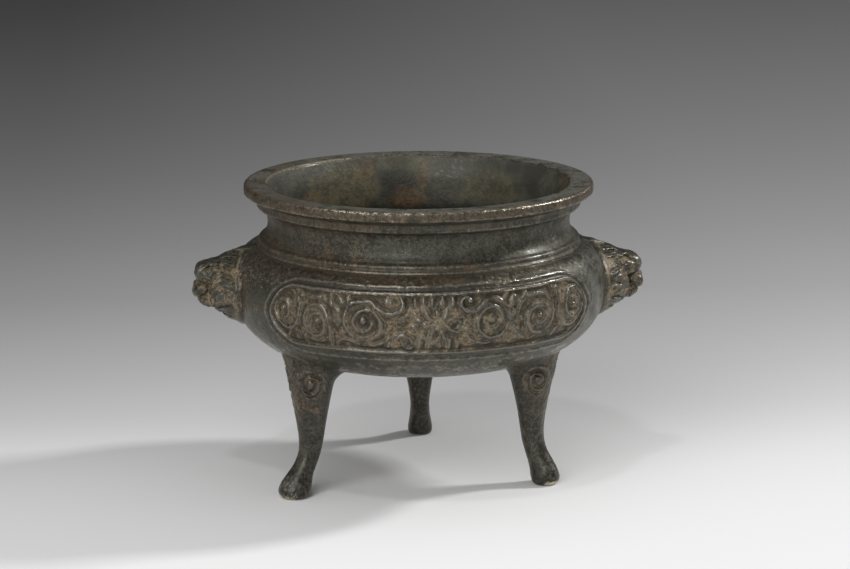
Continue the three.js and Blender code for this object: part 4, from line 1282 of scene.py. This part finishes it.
def ball(place, middle, half):
    """Distance to an oval ball, given by its middle and half sizes."""
    x = [(axis - at) / size for axis, at, size in zip(place, middle, half)]
    near = np.sqrt(x[0] ** 2 + x[1] ** 2 + x[2] ** 2) + 1e-6
    steep = np.sqrt(sum((axis / size) ** 2 for axis, size in zip(x, half))) + 1e-6
    return near * (near - 1.0) / steep


def cord(place, path, radius):
    """Distance to a rounded strand along a path."""
    best = None
    for start, end in zip(path, path[1:]):
        step = [b - a for a, b in zip(start, end)]
        size = sum(s * s for s in step)
        along = sum((axis - a) * s for axis, a, s in zip(place, start, step)) / size
        along = np.clip(along, 0.0, 1.0)
        gap = np.sqrt(sum((axis - a - along * s) ** 2 for axis, a, s in zip(place, start, step)))
        best = gap if best is None else np.minimum(best, gap)
    return best - radius


def surface_net(field, origin, step):
    """Vertices and quads of the field's zero surface on an even grid."""
    inside = field < 0
    shape = np.array(field.shape)
    corners = [(i & 1, i >> 1 & 1, i >> 2 & 1) for i in range(8)]
    windows = (tuple(slice(c, size - 1 + c) for c, size in zip(corner, shape)) for corner in corners)
    count = sum(inside[window].astype(np.int8) for window in windows)
    cells = np.argwhere((count > 0) & (count < 8))

    # One point in each cell that the surface crosses, in the middle of its edges' crossings
    number = np.full(shape - 1, -1, np.int64)
    number[tuple(cells.T)] = np.arange(len(cells))
    total = np.zeros((len(cells), 3))
    hits = np.zeros(len(cells))
    for a in corners:
        for axis in range(3):
            if a[axis]:
                continue
            b = list(a)
            b[axis] = 1
            first = field[tuple((cells + a).T)]
            second = field[tuple((cells + b).T)]
            crossing = (first < 0) != (second < 0)
            share = np.where(crossing, first / np.where(crossing, first - second, 1.0), 0.0)
            place = np.broadcast_to(np.array(a, float), (len(cells), 3)).copy()
            place[:, axis] = share
            total += place * crossing[:, None]
            hits += crossing
    points = origin + (cells + total / hits[:, None]) * step

    # One face round each edge of the grid that the surface crosses, turned outward
    faces = []
    for axis in range(3):
        side, up = [(1, 2), (2, 0), (0, 1)][axis]
        low = [slice(1, n - 1) for n in shape]
        low[axis] = slice(0, shape[axis] - 1)
        high = list(low)
        high[axis] = slice(1, shape[axis])
        first, second = inside[tuple(low)], inside[tuple(high)]
        spots = np.argwhere(first != second) + [s.start for s in low]
        flip = inside[tuple(spots.T)]
        ring = []
        for a, b in ((0, 0), (1, 0), (1, 1), (0, 1)):
            cell = spots.copy()
            cell[:, side] -= 1 - a
            cell[:, up] -= 1 - b
            ring.append(number[tuple(cell.T)])
        ring = np.stack(ring, 1)
        ring[~flip] = ring[~flip][:, ::-1]
        faces += ring.tolist()
    return points, faces


# Sections of the head as (distance from the axis, middle height, half height, half width)
SKULL = (
    (45.0, 62.2, 6.5, 9.5), (50.5, 61.9, 5.7, 8.6), (54.0, 61.5, 4.9, 7.7), (57.9, 60.9, 4.0, 6.7),
    (60.0, 60.6, 3.65, 6.1), (61.5, 60.4, 3.3, 5.4), (63.0, 60.3, 2.6, 4.2), (64.0, 60.4, 1.6, 2.6),
    (64.5, 60.5, 0.3, 0.5),
)
FACE = (
    (48.0, 54.6, 8.0, 9.4), (52.0, 54.6, 6.9, 8.7), (55.0, 54.6, 5.6, 7.7), (58.0, 54.7, 4.3, 6.4),
    (60.0, 54.9, 3.6, 5.1), (61.5, 55.1, 3.0, 4.1), (62.6, 55.2, 2.1, 2.9), (63.2, 55.3, 0.5, 0.8),
)
MUZZLE = (
    (56.0, 56.7, 2.0, 3.2), (60.0, 56.4, 2.5, 4.2), (62.5, 56.1, 2.6, 4.2), (64.0, 55.8, 2.3, 3.7),
    (64.8, 55.4, 1.5, 2.4), (65.2, 55.3, 0.3, 0.5),
)
CHIN = (
    (56.0, 53.0, 2.6, 4.0), (60.0, 52.5, 2.0, 3.6), (62.0, 52.5, 1.5, 3.0), (63.2, 52.8, 0.9, 2.0),
    (63.7, 53.0, 0.2, 0.4),
)
EYE = (59.6, 60.8)
# Round forms of the head, as (middle, half sizes) in (distance from the axis, across, height)
BROW = ((61.3, 2.7, 60.9), (3.0, 2.6, 2.7))
JAW_FRONT = ((60.4, 3.5, 52.6), (1.7, 1.6, 1.5))
JAW_BACK = ((57.6, 5.0, 53.0), (2.6, 1.9, 2.5))
LIP_PAD = ((62.9, 2.6, 55.8), (1.9, 1.8, 2.0))
NOSE = ((63.8, 0.0, 57.2), (1.0, 1.7, 1.2))
NOSTRIL = ((65.1, 0.95, 56.3), (0.7, 0.42, 0.42))
MOUTH = ((65.8, 0.0, 53.7), (65.0, 1.6, 53.4), (64.0, 3.2, 53.1))
MOUTH_RADIUS = 0.42
# Lines cut (+) or raised (-) on the head's flanks: depth, half width, points of (distance out, height)
FACE_LINES = (
    (0.5, 0.3, ((62.9, 60.6), (62.2, 61.6), (61.0, 62.6), (59.5, 63.1), (57.6, 63.0), (55.2, 62.3))),
    (-0.3, 0.4, ((61.6, 63.2), (59.8, 63.9), (57.4, 63.8), (55.6, 63.2))),
    (0.3, 0.3, ((61.9, 59.4), (60.6, 58.8), (59.0, 58.8), (57.7, 59.6), (57.0, 60.6))),
    (0.5, 0.36, ((65.4, 57.9), (63.8, 58.2), (62.2, 58.2), (61.0, 57.6), (60.5, 56.6), (60.8, 55.7))),
    (0.9, 0.34, ((66.0, 52.9), (64.2, 53.0), (62.9, 53.6), (61.8, 54.6), (60.9, 55.6))),
    (0.45, 0.34, ((61.9, 53.6), (61.3, 52.3), (61.5, 50.6))),
    (0.45, 0.36, ((59.6, 54.0), (58.9, 52.4), (59.1, 50.4))),
    (0.4, 0.4, ((60.2, 57.9), (58.4, 58.0), (56.9, 57.4), (56.1, 56.2), (55.9, 54.6), (56.6, 53.0))),
    (0.35, 0.36, ((60.6, 54.8), (59.2, 54.2), (57.4, 54.1))),
)
FACE_LINE_SHARE = 0.85
# The mane: its middle height, half its width and height, and its rise over the belly from middle to border
MANE_Z = 56.7
MANE_HALF_WIDTH = 15.4
MANE_HALF_HEIGHT = 11.0
MANE_REACHES = (0.0, 0.45, 0.62, 0.8, 0.9, 0.95, 1.0)
MANE_RISES = (7.0, 6.6, 5.4, 3.5, 2.0, 1.15, 0.75)
MANE_STEEPNESS = 1.35
# The block of space in which a mask is modelled: (distance from the axis, across, height)
MASK_CORNER = (46.0, -16.4, 44.6)
MASK_SPAN = (20.0, 32.8, 24.2)
# Side, angle round Z and seed of each mask
MASKS = (("left", math.pi, 301), ("right", 0.0, 401))


def loft(place, sections):
    """Distance to a rounded form whose oval sections change along the first axis."""
    u, t, z = place
    stations, middle, tall, wide = np.array(sections).T
    high = np.interp(u, stations, tall)
    broad = np.interp(u, stations, wide)
    reach = np.sqrt(((z - np.interp(u, stations, middle)) / high) ** 2 + (t / broad) ** 2)
    return np.maximum((reach - 1.0) * np.minimum(high, broad), u - stations[-1])


def face_drawing(u, z):
    """Height that is drawn on the flanks of the head, in millimetres: the eye and the creases round it."""
    x, y = u - EYE[0], z - EYE[1] + 0.12 * (u - EYE[0])
    eye = np.hypot(x / 1.3, y / (1.0 - 0.12 * np.abs(x)).clip(0.6))
    drawn = 0.45 * np.clip(1.0 - (eye / 0.9) ** 2, 0.0, 1.0) ** 0.5 - 0.5 * np.exp(-((eye / 1.9) ** 2))
    drawn += (0.3 + 0.08 * np.sign(y)) * np.exp(-(((eye - 1.28) / 0.3) ** 2))
    drawn -= 0.16 * np.exp(-(((x - 0.2) ** 2 + (y - 0.1) ** 2) / 0.12))
    for depth, half_width, line in FACE_LINES:
        drawn -= FACE_LINE_SHARE * depth * np.exp(-((cord((u, z), line, 0.0) / half_width) ** 2))
    return drawn


def mane_flow(u, t, z, locks, seed):
    """Where a point lies between the middle (0) and border (1) of a mask, and its phase round the locks."""
    side, rise = t / MANE_HALF_WIDTH, (z - MANE_Z) / MANE_HALF_HEIGHT
    reach = np.hypot(side, rise)
    turn = np.arctan2(rise, np.abs(side))
    bend = 1.6 * lumps(np.stack([u, t, z], -1), 5.0, seed + 4)
    return reach, turn * locks + 5.0 * np.sin(reach * 6.0 + turn) + bend


def lion_field(place, locks, seed):
    """Distance field of a lion mask: place is (out along the radius, across, up) in millimetres."""
    u, t, z = place
    paired = (u, np.abs(t), z)
    skin = np.stack([u, t, z], -1)
    rise = np.hypot(u, t) - belly_radius(z)
    reach, swirl = mane_flow(u, t, z, locks, seed)

    # The mane: a skirt with soft waving locks that climbs from its thin border to the face
    profile = np.interp(reach, MANE_REACHES, MANE_RISES)
    strands = 1.3 * (np.abs(np.cos(swirl / 2)) ** 0.7 - 0.68) + 0.26 * np.cos(swirl * 2.0 + 3.0 * reach)
    belt = smooth(0.42, 0.56, reach) * (1.0 - smooth(0.86, 0.91, reach))
    profile = profile + belt * (strands + 0.2 * lumps(skin, 2.2, seed + 5))
    profile = profile + 0.3 * np.exp(-(((reach - 0.955) / 0.022) ** 2))
    field = np.maximum((rise - profile) / MANE_STEEPNESS, (reach - 1.0) * MANE_HALF_HEIGHT)

    # Skull with its domed brow, face, muzzle with the nose, chin and jaw knobs
    hair = strands * (1.0 - smooth(55.5, 57.5, u)) * 0.6
    for form, seam in (
        (loft(place, SKULL) - hair, 0.8),
        (loft(place, FACE) - hair, 0.7),
        (ball(paired, *BROW), 0.5),
        (loft(place, CHIN), 0.35),
        (ball(paired, *JAW_FRONT), 0.4),
        (ball(paired, *JAW_BACK), 0.5),
        (loft(place, MUZZLE), 0.25),
        (ball(paired, *LIP_PAD), 0.3),
        (ball(place, *NOSE), 0.3),
    ):
        field = melt(field, form, seam)

    # Eyes, brows, mouth and cheeks, then the front of the mouth and the nostrils
    wave = [0.3 * lumps(skin, 1.8, seed + part) for part in (6, 7)]
    drawn = face_drawing(u + wave[0], z + wave[1])
    field = field - drawn * smooth(1.2, 3.0, np.abs(t)) * smooth(54.6, 56.2, u)
    field = carve(field, cord(paired, MOUTH, MOUTH_RADIUS), 0.12)
    field = carve(field, ball(paired, *NOSTRIL), 0.15)
    field = field + 0.08 * lumps(skin, 1.5, seed) + 0.05 * lumps(skin, 0.7, seed + 1)
    return np.maximum(field, -rise - 0.5)


class CENSER_OT_masks(bpy.types.Operator):
    """Carve the two lion masks with their manes"""

    bl_idname = "censer.carve_masks"
    bl_label = "Lion masks"

    def execute(self, context):
        sizes = context.scene.censer_sizes
        finish = context.scene.censer_finish
        step = sizes.mask_cell / MM
        axes = [start + step * np.arange(int(span / step) + 1) for start, span in zip(MASK_CORNER, MASK_SPAN)]
        place = np.meshgrid(*axes, indexing="ij")
        material = patina("mask_patina", finish, wear=0.9, offset=1.37, gloss=0.08)
        for side, angle, seed in MASKS:
            field = lion_field(place, sizes.mane_locks, seed)
            points, faces = surface_net(field, np.array(MASK_CORNER), step)
            cos, sin = math.cos(angle), math.sin(angle)
            x, y, z = points.T
            turned = np.stack([x * cos - y * sin, x * sin + y * cos, z], 1)
            made = put_mesh("lion_face_" + side, turned, faces)
            mark(made, fine=8, broad=40, **self.staining(x, y, z, sizes.mane_locks, seed))
            seat(made, material, ["lion_mask_" + side])
        return {"FINISHED"}

    def staining(self, x, y, z, locks, seed):
        """Where a mask is soiled, browned and rubbed: its high and smooth places stay dark."""
        crown = smooth(0.2, 1.0, z - (66.4 - 0.35 * (x - 50.5) - 0.14 * np.abs(y)))
        brow = smooth(60.6, 62.2, x) * smooth(58.6, 59.6, z)
        eye = smooth(0.6, 1.2, 2.2 - np.hypot((x - EYE[0]) / 1.1, z - EYE[1]))
        cheek = smooth(0.0, 0.5, 1.0 - np.hypot((x - 58.6) / 2.2, (z - 56.0) / 1.8))
        jaw = smooth(0.0, 0.5, 1.0 - np.hypot((x - 57.6) / 1.8, (z - 52.2) / 2.2))
        reach, swirl = mane_flow(x, y, z, locks, seed)
        hair = smooth(0.1, 0.5, np.cos(swirl / 2)) * (1.0 - smooth(56.5, 57.5, x))
        dark = np.maximum.reduce([crown, brow, eye * 0.7, cheek, jaw, hair * 0.9])
        border = np.exp(-(((reach - 0.96) / 0.02) ** 2))
        muzzle = smooth(60.5, 61.5, x) * (1.0 - smooth(57.6, 58.6, z))
        soiled = np.maximum(1.05 - dark * 1.05, 1.4 * np.maximum(border, muzzle * 0.9))
        return {"soiled": soiled, "browned": 0.3 * (1.0 - dark), "rubbed": 0.22 * brow}


# Stage


IMAGE = (850, 569)
FOCAL_PIXELS = 3000.0
SENSOR = 36.0
CAMERA_PLACE = (-0.0736, -0.8408, 0.239)
# The camera's heading, tilt and roll, turned round Z, X and Z
CAMERA_TURNS = (math.radians(-5.12), math.radians(90 - 12.27), math.radians(-0.26))


def area_lamp(name, place, aim, size, power):
    """A square lamp at a place, turned towards what it lights."""
    data = bpy.data.lights.new(name, "AREA")
    data.size = size
    data.energy = power
    lamp = bpy.data.objects.new(name, data)
    lamp.location = place
    lamp.rotation_euler = (aim - place).to_track_quat("-Z", "Y").to_euler()
    bpy.context.scene.collection.objects.link(lamp)


# Painted light falloff on the paper from front to back: (metres behind the piece, tone at the left, tone at
# the right)
FALLOFF_TONES = (
    (-0.10, 0.91, 0.90), (-0.04, 0.90, 0.89), (0.00, 0.82, 0.84), (0.035, 0.69, 0.75), (0.07, 0.56, 0.66),
    (0.12, 0.46, 0.56), (0.18, 0.38, 0.46), (0.24, 0.31, 0.39), (0.35, 0.24, 0.31), (0.49, 0.175, 0.25),
    (0.66, 0.14, 0.215), (0.88, 0.115, 0.195), (1.16, 0.09, 0.185),
)
# Width over which the paper's painted falloff goes from its left tones to its right tones
FALLOFF_LEFT = 0.13
FALLOFF_WIDTH = 0.3
# The sweep in metres: half its width, its front edge, where its bend starts, the bend's radius and its height
SWEEP_SIDE = 3.2
SWEEP_FRONT = -3.0
SWEEP_BEND = 1.9
SWEEP_RADIUS = 0.8
SWEEP_TOP = 3.0
# Lamps: (name, degrees round the piece, degrees up, distance, size), all aimed at one place
LAMPS = (
    ("key", 14.0, 38.0, 1.5, 0.17), ("front", -118.0, 29.0, 1.4, 1.05),
    ("spark", -118.0, 64.0, 1.4, 0.1), ("top", 50.0, 82.0, 1.4, 1.2),
)
LIT_PLACE = Vector((0.0, 0.0, 0.05))


def floor_material(stage):
    """Paper with painted light falloff: darker towards the back, a little more on the left."""
    made, sheet = new_material("paper_sweep")
    place = sheet.place()
    start, span = FALLOFF_TONES[0][0], FALLOFF_TONES[-1][0] - FALLOFF_TONES[0][0]
    # Painted light falloff: the tone drops towards the back and the left
    back = (sheet.split(place, "Y") + sheet.split(place, "Z") - start) / span
    tones = []
    for side in (1, 2):
        stops = [((row[0] - start) / span, (row[side], row[side], row[side], 1.0)) for row in FALLOFF_TONES]
        tones.append(sheet.node("ShaderNodeValToRGB", {"stops": stops}, {0: back}))
    tone = sheet.blend((sheet.split(place, "X") + FALLOFF_LEFT) / FALLOFF_WIDTH, *tones)
    tone = sheet.blend(1.0, tone, stage.floor_tint, "MULTIPLY")
    values = {"Base Color": tone, "Roughness": 1.0, "Specular IOR Level": 0.0}
    surface = sheet.node("ShaderNodeBsdfPrincipled", {}, values)
    sheet.node("ShaderNodeOutputMaterial", {}, {"Surface": surface})
    return made


class CENSER_OT_stage(bpy.types.Operator):
    """Set the paper sweep, the lamps and the camera"""

    bl_idname = "censer.set_stage"
    bl_label = "Floor, lamps and camera"

    def execute(self, context):
        scene = context.scene
        stage = scene.censer_stage
        self.lay_floor(scene, stage)
        for name, turn, rise, reach, size in LAMPS:
            lean = math.radians(rise)
            away = Vector((reach * math.cos(lean), 0.0, reach * math.sin(lean)))
            place = LIT_PLACE + Matrix.Rotation(math.radians(turn), 3, "Z") @ away
            area_lamp(name, place, LIT_PLACE, size, getattr(stage, name + "_power"))

        world = bpy.data.worlds.new("room")
        world.use_nodes = True
        room = Sheet(world.node_tree)
        values = {"Color": (1.0, 1.0, 1.0, 1.0), "Strength": stage.world_light}
        light = room.node("ShaderNodeBackground", {}, values)
        room.node("ShaderNodeOutputWorld", {}, {"Surface": light})
        scene.world = world

        data = bpy.data.cameras.new("camera")
        data.sensor_width = SENSOR
        data.lens = FOCAL_PIXELS * SENSOR / IMAGE[0]
        data.clip_end = 50.0
        camera = bpy.data.objects.new("camera", data)
        turned = Matrix.Identity(4)
        for angle, axis in zip(CAMERA_TURNS, "ZXZ"):
            turned = turned @ Matrix.Rotation(angle, 4, axis)
        camera.matrix_world = Matrix.Translation(CAMERA_PLACE) @ turned
        scene.collection.objects.link(camera)
        scene.camera = camera
        scene.view_settings.view_transform = "Standard"
        return {"FINISHED"}

    def lay_floor(self, scene, stage):
        """One sheet of paper that bends up behind the piece."""
        path = [(SWEEP_FRONT, 0.0), (SWEEP_BEND, 0.0)]
        for turn in np.linspace(0, math.pi / 2, 25)[1:]:
            path.append((SWEEP_BEND + SWEEP_RADIUS * math.sin(turn), SWEEP_RADIUS * (1.0 - math.cos(turn))))
        path.append((SWEEP_BEND + SWEEP_RADIUS, SWEEP_TOP))
        points = [(x, y, z) for x in (-SWEEP_SIDE, SWEEP_SIDE) for y, z in path]
        count = len(path)
        faces = [(count + i, count + i + 1, i + 1, i) for i in range(count - 1)]
        mesh = bpy.data.meshes.new("sweep")
        mesh.from_pydata(points, [], faces)
        mesh.polygons.foreach_set("use_smooth", [True] * len(mesh.polygons))
        mesh.materials.append(floor_material(stage))
        floor = bpy.data.objects.new("sweep", mesh)
        scene.collection.objects.link(floor)


class CENSER_PT_panel(bpy.types.Panel):
    """Lists the censer's pieces, sizes and colours"""

    bl_idname = "CENSER_PT_panel"
    bl_label = "Tripod censer"
    bl_space_type = "VIEW_3D"
    bl_region_type = "UI"
    bl_category = "Censer"

    def draw(self, context):
        for operator in OPERATORS:
            self.layout.operator(operator.bl_idname)
        for group in (context.scene.censer_sizes, context.scene.censer_finish, context.scene.censer_stage):
            box = self.layout.box()
            for name in group.bl_rna.properties.keys():
                if name not in ("rna_type", "name"):
                    box.prop(group, name)


OPERATORS = (
    CENSER_OT_stage, CENSER_OT_belly, CENSER_OT_collar, CENSER_OT_rivets, CENSER_OT_legs, CENSER_OT_masks,
)
GROUPS = {"censer_sizes": CenserSizes, "censer_finish": CenserFinish, "censer_stage": CenserStage}


def register():
    for kind in (*GROUPS.values(), *OPERATORS, CENSER_PT_panel):
        bpy.utils.register_class(kind)
    for name, group in GROUPS.items():
        setattr(bpy.types.Scene, name, bpy.props.PointerProperty(type=group))


def unregister():
    for name in GROUPS:
        delattr(bpy.types.Scene, name)
    for kind in reversed((*GROUPS.values(), *OPERATORS, CENSER_PT_panel)):
        bpy.utils.unregister_class(kind)


def main():
    register()
    bpy.ops.censer.set_stage()
    bpy.ops.censer.model_belly()
    bpy.ops.censer.turn_collar()
    bpy.ops.censer.turn_rivets()
    bpy.ops.censer.model_legs()
    bpy.ops.censer.carve_masks()


if __name__ == "__main__":
    main()
